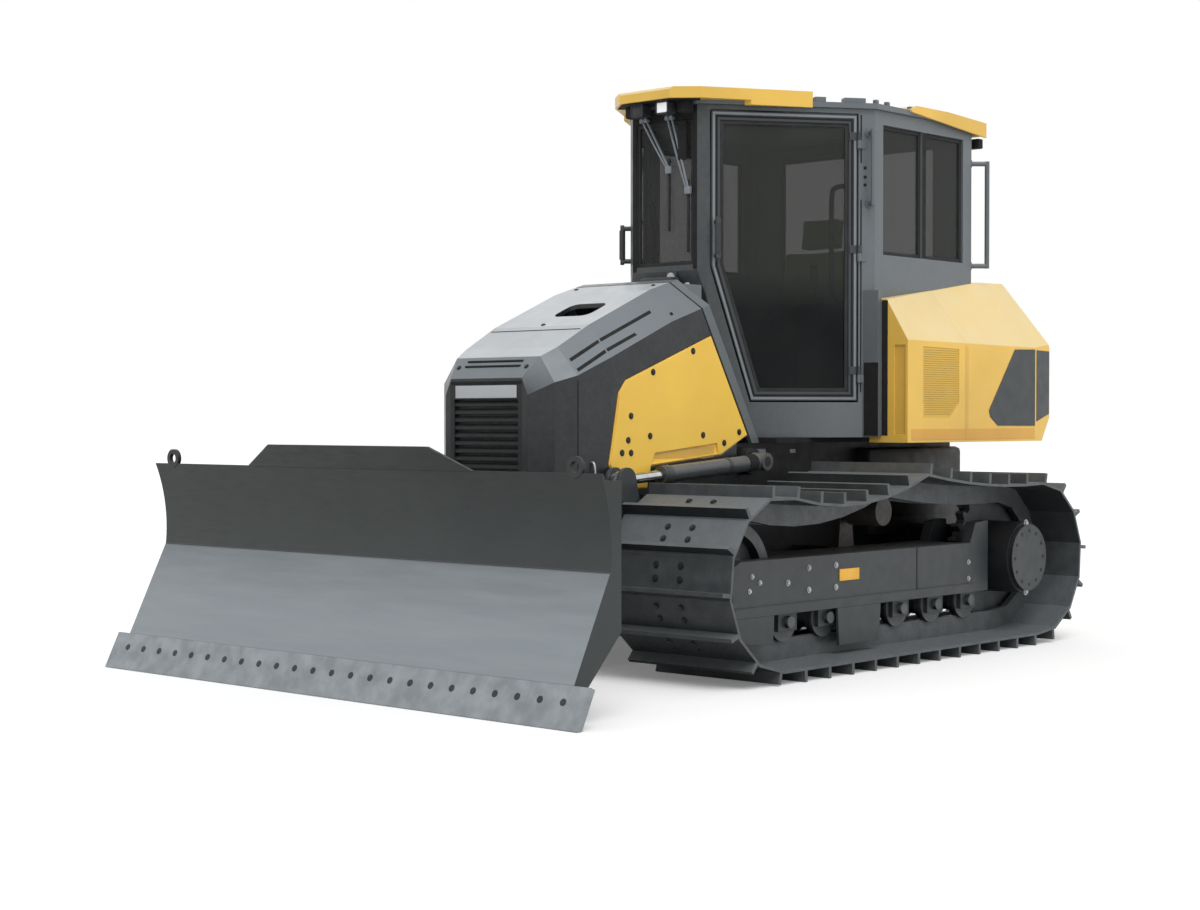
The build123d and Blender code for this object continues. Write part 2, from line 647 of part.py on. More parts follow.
with BuildPart() as push_frame:
    with BuildSketch(side(arm_out_y)):
        with Locations(((PUSH_PIVOT_X + ARM_FRONT_X) / 2, TILT_Z)):
            Rectangle(ARM_FRONT_X - PUSH_PIVOT_X, ARM_HEIGHT)
        with Locations((PUSH_PIVOT_X, PUSH_PIVOT_Z)):
            Circle(105)
    extrude(amount=ARM_WIDTH)
    # tall bracket that the lift cylinder pulls on
    with BuildSketch(side(arm_out_y)):
        with Locations((LIFT_EYE_X, LIFT_EYE_Z)):
            Circle(ROD_EYE_RADIUS + 14)
        with Locations((LIFT_EYE_X + 10, arm_high_z - 10)):
            Rectangle(340, 20)
        make_hull()
    extrude(amount=ARM_WIDTH)
    with BuildSketch(side(ARM_Y)):
        with Locations((LIFT_EYE_X, LIFT_EYE_Z + 40 - LIFT_EYE_DRIFT / 2)):
            Rectangle(400, 2 * (ROD_EYE_RADIUS + EYE_GAP) + 80 + LIFT_EYE_DRIFT)
    extrude(amount=ROD_EYE_WIDTH / 2 + EYE_GAP, both=True, mode=Mode.SUBTRACT)
    with BuildSketch(side(arm_out_y)):
        with Locations((PUSH_PIVOT_X, PUSH_PIVOT_Z)):
            Circle(PUSH_PIN_RADIUS + PIN_FIT)
    extrude(amount=ARM_WIDTH, mode=Mode.SUBTRACT)
    # post of the angling cylinder on top of the arm
    with BuildSketch(Plane.XY.offset(arm_high_z)):
        with Locations((ANGLE_BASE_X, ANGLE_BASE_Y)):
            Circle(36)
    extrude(amount=ANGLE_Z - ANGLE_BARREL_RADIUS - RUN - arm_high_z)
    with BuildSketch(Plane.XY.offset(arm_high_z)):
        with Locations((ANGLE_BASE_X, ANGLE_BASE_Y)):
            Circle(ANGLE_PIN_RADIUS)
    extrude(amount=ANGLE_Z + ANGLE_EYE_WIDTH / 2 + 14 - arm_high_z)
    # leg of the nose, from the arm's front end to the king pin
    with BuildSketch(Plane.XY.offset(nose_low_z)):
        with Locations((KING_X, 0)):
            Circle(NOSE_RADIUS)
        with Locations((ARM_FRONT_X - 60, ARM_Y)):
            Rectangle(120, ARM_WIDTH)
        make_hull()
    extrude(amount=nose_high_z - nose_low_z)
    mirror(about=Plane.XZ)
    with BuildSketch(Plane.XY.offset(nose_low_z)):
        with Locations((KING_X, 0)):
            Circle(KING_RADIUS + PIN_FIT)
    extrude(amount=nose_high_z - nose_low_z, mode=Mode.SUBTRACT)
write(push_frame.part, "push_frame")

# ============================================================ yoke
EAR_THICKNESS = 46.0
yoke_rear_x = YOKE_FRONT_X - YOKE_BEAM
beam_top_z = nose_high_z + RUN + EAR_THICKNESS + 14
beam_low_z = nose_low_z - RUN - EAR_THICKNESS
MAST_WIDTH = 90.0

with BuildPart() as yoke:
    for ear_z in (beam_low_z, nose_high_z + RUN):
        with BuildSketch(Plane.XY.offset(ear_z)):
            with Locations((KING_X, 0)):
                Circle(NOSE_RADIUS + 4)
            with Locations((YOKE_FRONT_X - 10, 0)):
                Rectangle(20, 440)
            make_hull()
        extrude(amount=EAR_THICKNESS)
    with BuildSketch(Plane.XY.offset(beam_low_z)):
        with Locations((KING_X, 0)):
            Circle(KING_RADIUS)
    extrude(amount=beam_top_z - beam_low_z)
    with BuildSketch(cross(yoke_rear_x)):
        Polygon(
            (-YOKE_HALF, beam_top_z),
            (-YOKE_HALF, beam_top_z - 110),
            (-260, beam_low_z),
            (260, beam_low_z),
            (YOKE_HALF, beam_top_z - 110),
            (YOKE_HALF, beam_top_z),
            align=None,
        )
    extrude(amount=YOKE_BEAM)
    # posts that the angling cylinders push on
    with BuildSketch(Plane.XY.offset(beam_top_z)):
        with Locations((ANGLE_EYE_X, ANGLE_EYE_Y), (ANGLE_EYE_X, -ANGLE_EYE_Y)):
            Circle(36)
    extrude(amount=ANGLE_Z - ANGLE_EYE_WIDTH / 2 - EYE_GAP - beam_top_z)
    # mast and pin of the tilt cylinder, and the pin that the blade tilts on
    with BuildSketch(cross(yoke_rear_x)):
        with Locations((TILT_BASE_Y, TILT_CYLINDER_Z)):
            Circle(MAST_WIDTH / 2)
        with Locations((TILT_BASE_Y, (beam_top_z + TILT_CYLINDER_Z) / 2)):
            Rectangle(MAST_WIDTH, TILT_CYLINDER_Z - beam_top_z)
    extrude(amount=YOKE_BEAM)
    with BuildSketch(cross(YOKE_FRONT_X)):
        with Locations((TILT_BASE_Y, TILT_CYLINDER_Z)):
            Circle(TILT_PIN)
    extrude(amount=TILT_CYLINDER_X + 30 - YOKE_FRONT_X)
    with BuildSketch(cross(YOKE_FRONT_X)):
        with Locations((0, TILT_Z)):
            Circle(TILT_PIN_RADIUS)
    extrude(amount=CREASE_X - 10 - YOKE_FRONT_X)
write(yoke.part, "yoke")

# ============================================================ blade
tip = Vector(TIP_X, TIP_Z)
crease = Vector(CREASE_X, CREASE_Z)
face_up = (crease - tip).normalized()       # up along the lower face
face_back = Vector(-face_up.Y, face_up.X)   # into the plate from the face


def on_face(up, depth):
    """Point a distance up the lower face from the tip, and a depth behind it."""
    return tip + face_up * up + face_back * depth


def face_x(z):
    """X of the lower face at a height."""
    return TIP_X + (z - TIP_Z) * face_up.X / face_up.Y


curl_middle_z = (CREASE_Z + TOP_Z) / 2
box_rear_x = YOKE_FRONT_X + 105
BOX_LOW = (TILT_Z - 92, TILT_Z + 92)
BOX_HIGH = (TOP_Z - 170, TOP_Z - 30)

with BuildPart() as spill:
    with BuildSketch(side(0)):
        Polygon(
            (TOP_X - MOLD_PLATE, TOP_Z - 4),
            (TOP_X, TOP_Z - 4),
            (SPILL_X, SPILL_Z),
            (SPILL_X - MOLD_PLATE, SPILL_Z),
            align=None,
        )
    extrude(amount=SPILL_BASE_HALF, both=True)
    with BuildSketch(cross(TOP_X - 100)):
        Polygon(
            (-SPILL_BASE_HALF, TOP_Z - 4),
            (SPILL_BASE_HALF, TOP_Z - 4),
            (SPILL_TOP_HALF, SPILL_Z),
            (-SPILL_TOP_HALF, SPILL_Z),
            align=None,
        )
    extrude(amount=300, mode=Mode.INTERSECT)

with BuildPart() as moldboard:
    with BuildSketch(side(0)):
        with BuildLine():
            Line(on_face(EDGE_DEPTH + FIT, 0), crease)
            ThreePointArc(crease, (CURL_X, curl_middle_z), (TOP_X, TOP_Z))
            Line((TOP_X, TOP_Z), (TOP_X - MOLD_PLATE, TOP_Z))
            ThreePointArc(
                (TOP_X - MOLD_PLATE, TOP_Z),
                (CURL_X - MOLD_PLATE, curl_middle_z),
                (CREASE_X - MOLD_PLATE, CREASE_Z - MOLD_PLATE / 4),
            )
            Polyline(
                (CREASE_X - MOLD_PLATE, CREASE_Z - MOLD_PLATE / 4),
                on_face(EDGE_DEPTH + FIT, MOLD_PLATE),
                on_face(EDGE_DEPTH + FIT, 0),
            )
        make_face()
    extrude(amount=BLADE_HALF, both=True)
    # strip behind the cutting edge that it bolts to
    strip_depth = EDGE_THICKNESS + FIT
    with BuildSketch(side(0)):
        Polygon(
            on_face(70, strip_depth),
            on_face(EDGE_DEPTH + FIT, strip_depth),
            on_face(EDGE_DEPTH + FIT, MOLD_PLATE / 2),
            on_face(EDGE_DEPTH + 90, MOLD_PLATE / 2),
            on_face(EDGE_DEPTH + 90, strip_depth + 20),
            on_face(70, strip_depth + 20),
            align=None,
        )
    extrude(amount=BLADE_HALF, both=True)
    # box sections along the back, at the push height and under the top edge
    with BuildSketch(side(0)):
        Polygon(
            (box_rear_x, BOX_LOW[0]),
            (box_rear_x, BOX_LOW[1]),
            (face_x(BOX_LOW[1]) - MOLD_PLATE / 2, BOX_LOW[1]),
            (face_x(BOX_LOW[0]) - MOLD_PLATE / 2, BOX_LOW[0]),
            align=None,
        )
        Polygon(
            (box_rear_x + 12, BOX_HIGH[0]),
            (box_rear_x + 12, BOX_HIGH[1]),
            (TOP_X - MOLD_PLATE - 8, BOX_HIGH[1]),
            (CURL_X - MOLD_PLATE / 2, BOX_HIGH[0]),
            align=None,
        )
    extrude(amount=BLADE_HALF - 60, both=True)
    # upright ribs, and the plates that close the ends
    for rib_y, rib_thickness in ((360, 20), (760, 20), (1160, 20), (BLADE_HALF, 24)):
        for toward in (-1, 1):
            with BuildSketch(side(toward * rib_y)):
                Polygon(
                    (box_rear_x, BOX_LOW[0]),
                    (box_rear_x, BOX_HIGH[1]),
                    (TOP_X - MOLD_PLATE - 8, BOX_HIGH[1]),
                    (CURL_X - MOLD_PLATE / 2, curl_middle_z + 40),
                    (CREASE_X - MOLD_PLATE / 2, CREASE_Z),
                    on_face(EDGE_DEPTH + 10, MOLD_PLATE / 2),
                    on_face(EDGE_DEPTH + 10, 80),
                    align=None,
                )
            extrude(amount=toward * rib_thickness)
    # hub of the tilt pin
    with BuildSketch(cross(YOKE_FRONT_X + RUN)):
        with Locations((0, TILT_Z)):
            Circle(TILT_PIN_RADIUS + 45)
    extrude(amount=CREASE_X - YOKE_FRONT_X - RUN)
    with BuildSketch(cross(YOKE_FRONT_X)):
        with Locations((0, TILT_Z)):
            Circle(TILT_PIN_RADIUS + PIN_FIT)
    extrude(amount=CREASE_X - 5 - YOKE_FRONT_X, mode=Mode.SUBTRACT)
    # bracket and pin of the tilt cylinder's rod
    tilt_bracket_x = TILT_CYLINDER_X + TILT_BARREL_RADIUS + RUN
    with BuildSketch(cross(tilt_bracket_x)):
        with Locations((TILT_EYE_Y, TILT_CYLINDER_Z)):
            Circle(55)
        with Locations((TILT_EYE_Y, BOX_HIGH[0] + 20)):
            Rectangle(150, 40)
        make_hull()
    extrude(amount=CURL_X - MOLD_PLATE / 2 - tilt_bracket_x)
    with BuildSketch(cross(TILT_CYLINDER_X - 30)):
        with Locations((TILT_EYE_Y, TILT_CYLINDER_Z)):
            Circle(TILT_PIN)
    extrude(amount=tilt_bracket_x - TILT_CYLINDER_X + 30)
    add(spill.part)
    # lifting rings on the top edge
    with BuildSketch(cross(TOP_X - MOLD_PLATE)):
        with Locations(*[(y, TOP_Z + LIFT_RING_BORE + 2) for y in (-LIFT_RING_Y, LIFT_RING_Y)]):
            Circle(LIFT_RING_RADIUS)
            Circle(LIFT_RING_BORE, mode=Mode.SUBTRACT)
    extrude(amount=MOLD_PLATE)
write(moldboard.part, "moldboard")

edge_outline = (
    tip,
    on_face(EDGE_DEPTH, 0),
    on_face(EDGE_DEPTH, EDGE_THICKNESS),
    Vector(TIP_X - EDGE_THICKNESS / face_up.Y, TIP_Z),
)
with BuildPart() as cutting_edge:
    with BuildSketch(side(0)):
        Polygon(*edge_outline, align=None)
    extrude(amount=EDGE_HALF - END_BIT_LENGTH, both=True)
write(cutting_edge.part, "cutting_edge")

with BuildPart() as end_bits:
    with BuildSketch(side(EDGE_HALF)):
        Polygon(*edge_outline, align=None)
    extrude(amount=END_BIT_LENGTH - FIT)
    mirror(about=Plane.XZ)
write(end_bits.part, "end_bits")


# ============================================================ hydraulic cylinders
def barrel(base, eye, pin_axis, eye_width, pin, tube, rod, length):
    """Barrel that turns on a pin at its base and points at the rod's eye."""
    along = (eye - base).normalized()
    gland = 1.4 * tube
    with BuildPart() as piece:
        with BuildSketch(Plane(origin=base, x_dir=along, z_dir=pin_axis)):
            Circle(pin + 20)
        extrude(amount=eye_width / 2, both=True)
        with BuildSketch(Plane(origin=base + along * pin * 0.8, z_dir=along)):
            Circle(tube)
        extrude(amount=length - pin * 0.8)
        with BuildSketch(Plane(origin=base + along * (length - gland), z_dir=along)):
            Circle(tube + 4)
        extrude(amount=gland)
        with BuildSketch(Plane(origin=base + along * (pin + 30), z_dir=along)):
            Circle(tube - 8)
        extrude(amount=length - gland - pin - 30, mode=Mode.SUBTRACT)
        with BuildSketch(Plane(origin=base + along * (length - gland), z_dir=along)):
            Circle(rod + FIT)
        extrude(amount=gland, mode=Mode.SUBTRACT)
        with BuildSketch(Plane(origin=base, x_dir=along, z_dir=pin_axis)):
            Circle(pin + PIN_FIT)
        extrude(amount=eye_width, both=True, mode=Mode.SUBTRACT)
    return piece.part


def rod_piece(base, eye, pin_axis, eye_width, pin, tube, rod, piston_at, bore):
    """Rod with its eye in front and its piston a distance from the barrel's base pin."""
    along = (eye - base).normalized()
    reach = (eye - base).length
    with BuildPart() as piece:
        with BuildSketch(Plane(origin=eye, x_dir=along, z_dir=pin_axis)):
            Circle(pin + 20)
        extrude(amount=eye_width / 2, both=True)
        with BuildSketch(Plane(origin=base + along * piston_at, z_dir=along)):
            Circle(rod)
        extrude(amount=reach - piston_at - pin)
        with BuildSketch(Plane(origin=base + along * piston_at, z_dir=along)):
            Circle(tube - 8 - FIT)
        extrude(amount=rod)
        if bore:
            with BuildSketch(Plane(origin=eye, x_dir=along, z_dir=pin_axis)):
                Circle(bore)
            extrude(amount=eye_width, both=True, mode=Mode.SUBTRACT)
    return piece.part


lift_base = Vector(LIFT_BASE_X, ARM_Y, LIFT_BASE_Z)
lift_eye = Vector(LIFT_EYE_X, ARM_Y, LIFT_EYE_Z)
angle_base = Vector(ANGLE_BASE_X, ANGLE_BASE_Y, ANGLE_Z)
angle_eye = Vector(ANGLE_EYE_X, ANGLE_EYE_Y, ANGLE_Z)
tilt_base = Vector(TILT_CYLINDER_X, TILT_BASE_Y, TILT_CYLINDER_Z)
tilt_eye = Vector(TILT_CYLINDER_X, TILT_EYE_Y, TILT_CYLINDER_Z)
across, upright, ahead = Vector(0, 1, 0), Vector(0, 0, 1), Vector(1, 0, 0)

LIFT_PISTON = 500.0
ANGLE_PISTON = 245.0
TILT_PISTON = 220.0
write_pair(
    barrel(
        lift_base, lift_eye, across, 2 * LIFT_BARREL_RADIUS, LIFT_PIN_RADIUS,
        LIFT_BARREL_RADIUS - 4, LIFT_ROD_RADIUS, LIFT_BARREL_LENGTH,
    ),
    "lift_barrel",
)
write_pair(
    rod_piece(
        lift_base, lift_eye, across, ROD_EYE_WIDTH, LIFT_PIN_RADIUS,
        LIFT_BARREL_RADIUS - 4, LIFT_ROD_RADIUS, LIFT_PISTON, 0,
    ),
    "lift_rod",
)
write_pair(
    barrel(
        angle_base, angle_eye, upright, ANGLE_EYE_WIDTH, ANGLE_PIN_RADIUS,
        ANGLE_BARREL_RADIUS - 4, ANGLE_ROD_RADIUS, ANGLE_BARREL_LENGTH,
    ),
    "angle_barrel",
)
# the pin's head turns with the rod's eye, on top of the yoke's post
with BuildPart() as angle_rod:
    add(
        rod_piece(
            angle_base, angle_eye, upright, ANGLE_EYE_WIDTH, ANGLE_PIN_RADIUS,
            ANGLE_BARREL_RADIUS - 4, ANGLE_ROD_RADIUS, ANGLE_PISTON, 0,
        )
    )
    with BuildSketch(Plane(origin=angle_eye, x_dir=ahead, z_dir=upright)):
        Circle(ANGLE_PIN_RADIUS + 6)
    extrude(amount=ANGLE_EYE_WIDTH / 2 + 12)
write_pair(angle_rod.part, "angle_rod")
write(
    barrel(
        tilt_base, tilt_eye, ahead, 50, TILT_PIN,
        TILT_BARREL_RADIUS - 4, TILT_ROD_RADIUS, TILT_BARREL_LENGTH,
    ),
    "tilt_barrel",
)
write(
    rod_piece(
        tilt_base, tilt_eye, ahead, 50, TILT_PIN,
        TILT_BARREL_RADIUS - 4, TILT_ROD_RADIUS, TILT_PISTON, TILT_PIN + EYE_PLAY,
    ),
    "tilt_rod",
)


# ============================================================ cab shape
door_along = Vector(-cos(radians(DOOR_ANGLE)), sin(radians(DOOR_ANGLE)), 0)
door_out = Vector(sin(radians(DOOR_ANGLE)), cos(radians(DOOR_ANGLE)), 0)
door_wall_end = DOOR_START + door_along * ((CAB_HALF - DOOR_START.Y) / door_along.Y)
cab_half_plan = [
    (CAB_FRONT_X, POST_Y),
    (DOOR_START.X, DOOR_START.Y),
    (door_wall_end.X, door_wall_end.Y),
    (CAB_REAR_X + CAB_CORNER, CAB_HALF),
    (CAB_REAR_X, CAB_HALF - CAB_CORNER),
]
cab_plan = cab_half_plan + [(x, -y) for x, y in cab_half_plan[::-1]]
PAN_THICKNESS = 30.0


def door_wall(depth=0.0):
    """Plane of the left door wall: X runs rearward from the front post, Y up."""
    foot = Vector(DOOR_START.X, DOOR_START.Y, 0) - door_out * depth
    return Plane(origin=foot, x_dir=door_along, z_dir=door_out)


def cab_block(grow, low, high):
    """The cab's outer shape grown by a distance, between two heights."""
    slope_shift = grow * sqrt(1 + ((CAB_FRONT_X - COWL_FOOT_X) / (COWL_Z - CAB_BASE_Z)) ** 2)
    with BuildPart() as block:
        with BuildSketch(Plane.XY.offset(low)):
            Polygon(*cab_plan, align=None)
            offset(amount=grow, kind=Kind.INTERSECTION)
        extrude(amount=high - low)
        with BuildSketch(side(0)):
            Polygon(
                (CAB_FRONT_X + slope_shift + 0.01, COWL_Z),
                (COWL_FOOT_X + slope_shift, CAB_BASE_Z),
                (COWL_FOOT_X + slope_shift, low - 1),
                (CAB_FRONT_X + 900, low - 1),
                (CAB_FRONT_X + 900, COWL_Z),
                align=None,
            )
        extrude(amount=2 * CAB_HALF, both=True, mode=Mode.SUBTRACT)
    return block.part


DOOR_OUTLINE = (
    (DOOR_FRONT_S, DOOR_TOP_Z),
    (DOOR_FRONT_S, DOOR_BREAK_Z),
    (DOOR_FOOT_S, DOOR_BOTTOM_Z),
    (DOOR_REAR_S, DOOR_BOTTOM_Z),
    (DOOR_REAR_S, DOOR_TOP_Z),
)
DOOR_GAP = 8.0
COLUMN_FRONT_X = -848.0
COLUMN_MID_Y = 826.0
COLUMN_WIDTH = 112.0
COLUMN_TOP_Z = 1950.0
HINGE_RADIUS = 12.0
HINGE_PIN = 6.0
HINGE_LENGTH = 44.0
HINGE_LEAF = 6.0
HINGE_OUT = 13.0            # hinge axis ahead of the door's outer face
HINGE_HEIGHTS = (DOOR_BOTTOM_Z + 150, DOOR_BREAK_Z + 80, DOOR_TOP_Z - 145)
WINDOW_HEAD = 75.0          # from the panes' heads up to the cab's top
SILL_Z = 2080.0
SIDE_SILL_Z = 2150.0
WINDSHIELD_WIDTH = 400.0
REAR_WINDOW_WIDTH = 1120.0
SIDE_PANE_WIDTH = 385.0
SIDE_PANES_X = (-1175.0, -1597.0)

front_wall, rear_wall, left_wall = cross(CAB_FRONT_X), cross(CAB_REAR_X), side(CAB_HALF)
window_rows = (
    # node, plane of the outer face, plane of the pane, places, width, sill
    ("windshield", front_wall, front_wall.offset(-CAB_WALL / 2), (0.0,), WINDSHIELD_WIDTH, SILL_Z),
    ("rear_glass", rear_wall, rear_wall.offset(CAB_WALL / 2), (0.0,), REAR_WINDOW_WIDTH, SIDE_SILL_Z),
    (
        "side_glass", left_wall, left_wall.offset(CAB_WALL / 2), SIDE_PANES_X, SIDE_PANE_WIDTH,
        SIDE_SILL_Z,
    ),
)
head_z = CAB_TOP_Z - WINDOW_HEAD

with BuildPart() as door_opening:
    with BuildSketch(door_wall()):
        Polygon(*DOOR_OUTLINE, align=None)
    extrude(amount=CAB_WALL + 40, both=True)

with BuildPart() as cab_frame:
    add(cab_block(0, CAB_BASE_Z, CAB_TOP_Z))
    add(
        cab_block(-CAB_WALL, CAB_BASE_Z + PAN_THICKNESS, CAB_TOP_Z + 10),
        mode=Mode.SUBTRACT,
    )
    for node, wall, pane_plane, places, width, sill_z in window_rows:
        with BuildPart(mode=Mode.PRIVATE) as opening:
            with BuildSketch(wall):
                with Locations(*[(place, (sill_z + head_z) / 2) for place in places]):
                    Rectangle(width, head_z - sill_z)
            extrude(amount=CAB_WALL + 1, both=True)
        add(opening.part, mode=Mode.SUBTRACT)
        add(opening.part.mirror(Plane.XZ), mode=Mode.SUBTRACT)
    add(door_opening.part, mode=Mode.SUBTRACT)
    add(door_opening.part.mirror(Plane.XZ), mode=Mode.SUBTRACT)
    # posts that cover the fenders' inner fronts
    for toward in (-1, 1):
        with BuildSketch(Plane.XY.offset(CAB_BASE_Z + 5)):
            with Locations(((FENDER_FRONT_X + FIT + COLUMN_FRONT_X) / 2, toward * COLUMN_MID_Y)):
                Rectangle(COLUMN_FRONT_X - FENDER_FRONT_X - FIT, COLUMN_WIDTH)
        extrude(amount=COLUMN_TOP_Z - CAB_BASE_Z - 5)
    # hinge halves and pins on the posts behind the doors
    with BuildPart(mode=Mode.PRIVATE) as post_hinges:
        for hinge_z in HINGE_HEIGHTS:
            with BuildSketch(door_wall(-HINGE_LEAF)):
                with Locations((DOOR_REAR_S + 20, hinge_z - HINGE_LENGTH / 2)):
                    Rectangle(40, HINGE_LENGTH - 2 * FIT)
            extrude(amount=-HINGE_LEAF)
            hinge_foot = door_wall(-HINGE_OUT).from_local_coords((DOOR_REAR_S, 0, 0))
            with BuildSketch(Plane(hinge_foot).offset(hinge_z - HINGE_LENGTH)):
                Circle(HINGE_RADIUS)
            extrude(amount=HINGE_LENGTH - FIT)
            with BuildSketch(Plane(hinge_foot).offset(hinge_z - HINGE_LENGTH)):
                Circle(HINGE_PIN)
            extrude(amount=2 * HINGE_LENGTH - 4)
    add(post_hinges.part)
    add(post_hinges.part.mirror(Plane.XZ))
write(cab_frame.part, "cab_frame")

HANDLE_Z = 2215.0
HANDLE_STANDOFF = 42.0
with BuildPart() as door:
    with BuildSketch(door_wall()):
        Polygon(*DOOR_OUTLINE, align=None)
        offset(amount=-DOOR_GAP, kind=Kind.INTERSECTION)
    extrude(amount=-DOOR_THICKNESS)
    with BuildSketch(door_wall()):
        Polygon(*DOOR_OUTLINE, align=None)
        offset(amount=-DOOR_GAP - DOOR_FRAME, kind=Kind.INTERSECTION)
    extrude(amount=-DOOR_THICKNESS, mode=Mode.SUBTRACT)
    for hinge_z in HINGE_HEIGHTS:
        with BuildSketch(door_wall(-HINGE_LEAF)):
            with Locations((DOOR_REAR_S - 26, hinge_z + HINGE_LENGTH / 2)):
                Rectangle(52, HINGE_LENGTH - 2 * FIT)
        extrude(amount=-HINGE_LEAF)
        hinge_foot = door_wall(-HINGE_OUT).from_local_coords((DOOR_REAR_S, 0, 0))
        with BuildSketch(Plane(hinge_foot).offset(hinge_z)):
            Circle(HINGE_RADIUS)
        extrude(amount=HINGE_LENGTH)
        with BuildSketch(Plane(hinge_foot).offset(hinge_z)):
            Circle(HINGE_PIN + PIN_FIT)
        extrude(amount=HINGE_LENGTH, mode=Mode.SUBTRACT)
    # pull handle on the front stile, a grip on two feet
    handle_s = DOOR_FRONT_S + DOOR_GAP + DOOR_FRAME / 2
    with BuildSketch(door_wall()):
        with Locations((handle_s, HANDLE_Z - 90), (handle_s, HANDLE_Z + 90)):
            Circle(13)
    extrude(amount=HANDLE_STANDOFF)
    with BuildSketch(door_wall(-HANDLE_STANDOFF)):
        with Locations((handle_s, HANDLE_Z)):
            SlotOverall(220, 26, rotation=90)
    extrude(amount=20)
write_pair(door.part, "door")

with BuildPart() as door_glass:
    with BuildSketch(door_wall(DOOR_THICKNESS / 2)):
        Polygon(*DOOR_OUTLINE, align=None)
        offset(amount=-DOOR_GAP - DOOR_FRAME - FIT, kind=Kind.INTERSECTION)
    extrude(amount=GLASS)
write_pair(door_glass.part, "door_glass")

for node, wall, pane_plane, places, width, sill_z in window_rows:
    with BuildPart() as pane:
        with BuildSketch(pane_plane):
            with Locations(*[(place, (sill_z + head_z) / 2) for place in places]):
                Rectangle(width - 2 * FIT, head_z - sill_z - 2 * FIT)
        extrude(amount=GLASS)
    if node == "side_glass":
        write_pair(pane.part, node)
    else:
        write(pane.part, node)

# ============================================================ inside the cab
DASH_HALF = 180.0
DASH_HEIGHT = 600.0
SEAT_X = -1180.0
SEAT_HALF = 255.0
SEAT_Z = 1640.0
with BuildPart() as cab_floor:
    add(cab_block(-CAB_WALL - FIT, CAB_BASE_Z + PAN_THICKNESS + FIT, FLOOR_Z))
    with BuildSketch(side(0)):
        Polygon(
            (-560, FLOOR_Z - 5),
            (-360, FLOOR_Z - 5),
            (-250, FLOOR_Z + DASH_HEIGHT),
            (-330, FLOOR_Z + DASH_HEIGHT + 60),
            (-440, FLOOR_Z + DASH_HEIGHT),
            align=None,
        )
    extrude(amount=DASH_HALF, both=True)
    with BuildSketch(side(0)):
        Polygon(
            (SEAT_X - 230, FLOOR_Z - 5),
            (SEAT_X + 190, FLOOR_Z - 5),
            (SEAT_X + 160, SEAT_Z),
            (SEAT_X - 200, SEAT_Z),
            align=None,
        )
    extrude(amount=SEAT_HALF - 60, both=True)
    with BuildSketch(Plane.XY.offset(FLOOR_Z - 5)):
        with Locations((SEAT_X, SEAT_HALF + 110), (SEAT_X, -SEAT_HALF - 110)):
            Rectangle(520, 150)
    extrude(amount=600)
write(cab_floor.part, "cab_floor")

with BuildPart() as seat:
    with BuildSketch(side(0)):
        with BuildLine():
            Polyline(
                (SEAT_X + 260, SEAT_Z + FIT),
                (SEAT_X - 240, SEAT_Z + FIT),
                (SEAT_X - 300, SEAT_Z + 60),
                (SEAT_X - 400, SEAT_Z + 780),
                (SEAT_X - 310, SEAT_Z + 800),
                (SEAT_X - 150, SEAT_Z + 150),
                (SEAT_X + 250, SEAT_Z + 130),
                (SEAT_X + 300, SEAT_Z + 80),
                (SEAT_X + 260, SEAT_Z + FIT),
            )
        make_face()
    extrude(amount=SEAT_HALF, both=True)
write(seat.part, "seat")

# ============================================================ roof
roof_z = CAB_TOP_Z + FIT
visor_z = roof_z + ROOF_THICKNESS + FIT
ROOF_BOX = (500.0, 1150.0, 26.0)
with BuildPart() as roof:
    with BuildSketch(Plane.XY.offset(roof_z)):
        Polygon(*cab_plan, align=None)
        offset(amount=ROOF_OVERHANG, kind=Kind.INTERSECTION)
    extrude(amount=ROOF_THICKNESS - FIT)
    with BuildSketch(Plane.XY.offset(roof_z + ROOF_THICKNESS - 2)):
        with Locations((COVER_FRONT_X + 20 + ROOF_BOX[0] / 2, 0)):
            Rectangle(ROOF_BOX[0], ROOF_BOX[1])
    extrude(amount=ROOF_BOX[2])
write(roof.part, "roof")

VISOR_SKIRT_X = 290.0       # where the deeper rim starts, behind the front
VISOR_REACH = 580.0         # how far back the visor runs along the door walls
visor_corner = DOOR_START + door_along * VISOR_REACH + door_out * (ROOF_OVERHANG + 10)
visor_half_plan = [
    (VISOR_X, VISOR_HALF),
    (VISOR_X - 110, VISOR_HALF + 130),
    (visor_corner.X, visor_corner.Y),
    (visor_corner.X - 60, visor_corner.Y - 110),
]
visor_plan = visor_half_plan + [(x, -y) for x, y in visor_half_plan[::-1]]
VISOR_LOW_Z = roof_z + 20
VISOR_HIGH_Z = roof_z + 80
VISOR_SKIRT = 25.0          # deeper rim along the door walls
with BuildPart() as roof_visor:
    with BuildSketch(Plane.XY.offset(VISOR_LOW_Z)):
        Polygon(*visor_plan, align=None)
    extrude(amount=VISOR_HIGH_Z - VISOR_LOW_Z)
    with BuildSketch(Plane.XY.offset(VISOR_LOW_Z - VISOR_SKIRT)):
        Polygon(*visor_plan, align=None)
        with Locations((0, 0)):
            Rectangle(2 * VISOR_SKIRT_X, 2 * CAB_HALF, mode=Mode.SUBTRACT)
    extrude(amount=VISOR_SKIRT)
    chamfer(roof_visor.edges().group_by(Axis.Z)[-1].sort_by(Axis.X)[-1:], 14)
    # the roof and the cab's top pass under it
    with BuildSketch(Plane.XY.offset(CAB_TOP_Z - 200)):
        Polygon(*cab_plan, align=None)
        offset(amount=ROOF_OVERHANG + FIT, kind=Kind.INTERSECTION)
    extrude(amount=200 + ROOF_THICKNESS + 2 * FIT, mode=Mode.SUBTRACT)
write(roof_visor.part, "roof_visor")

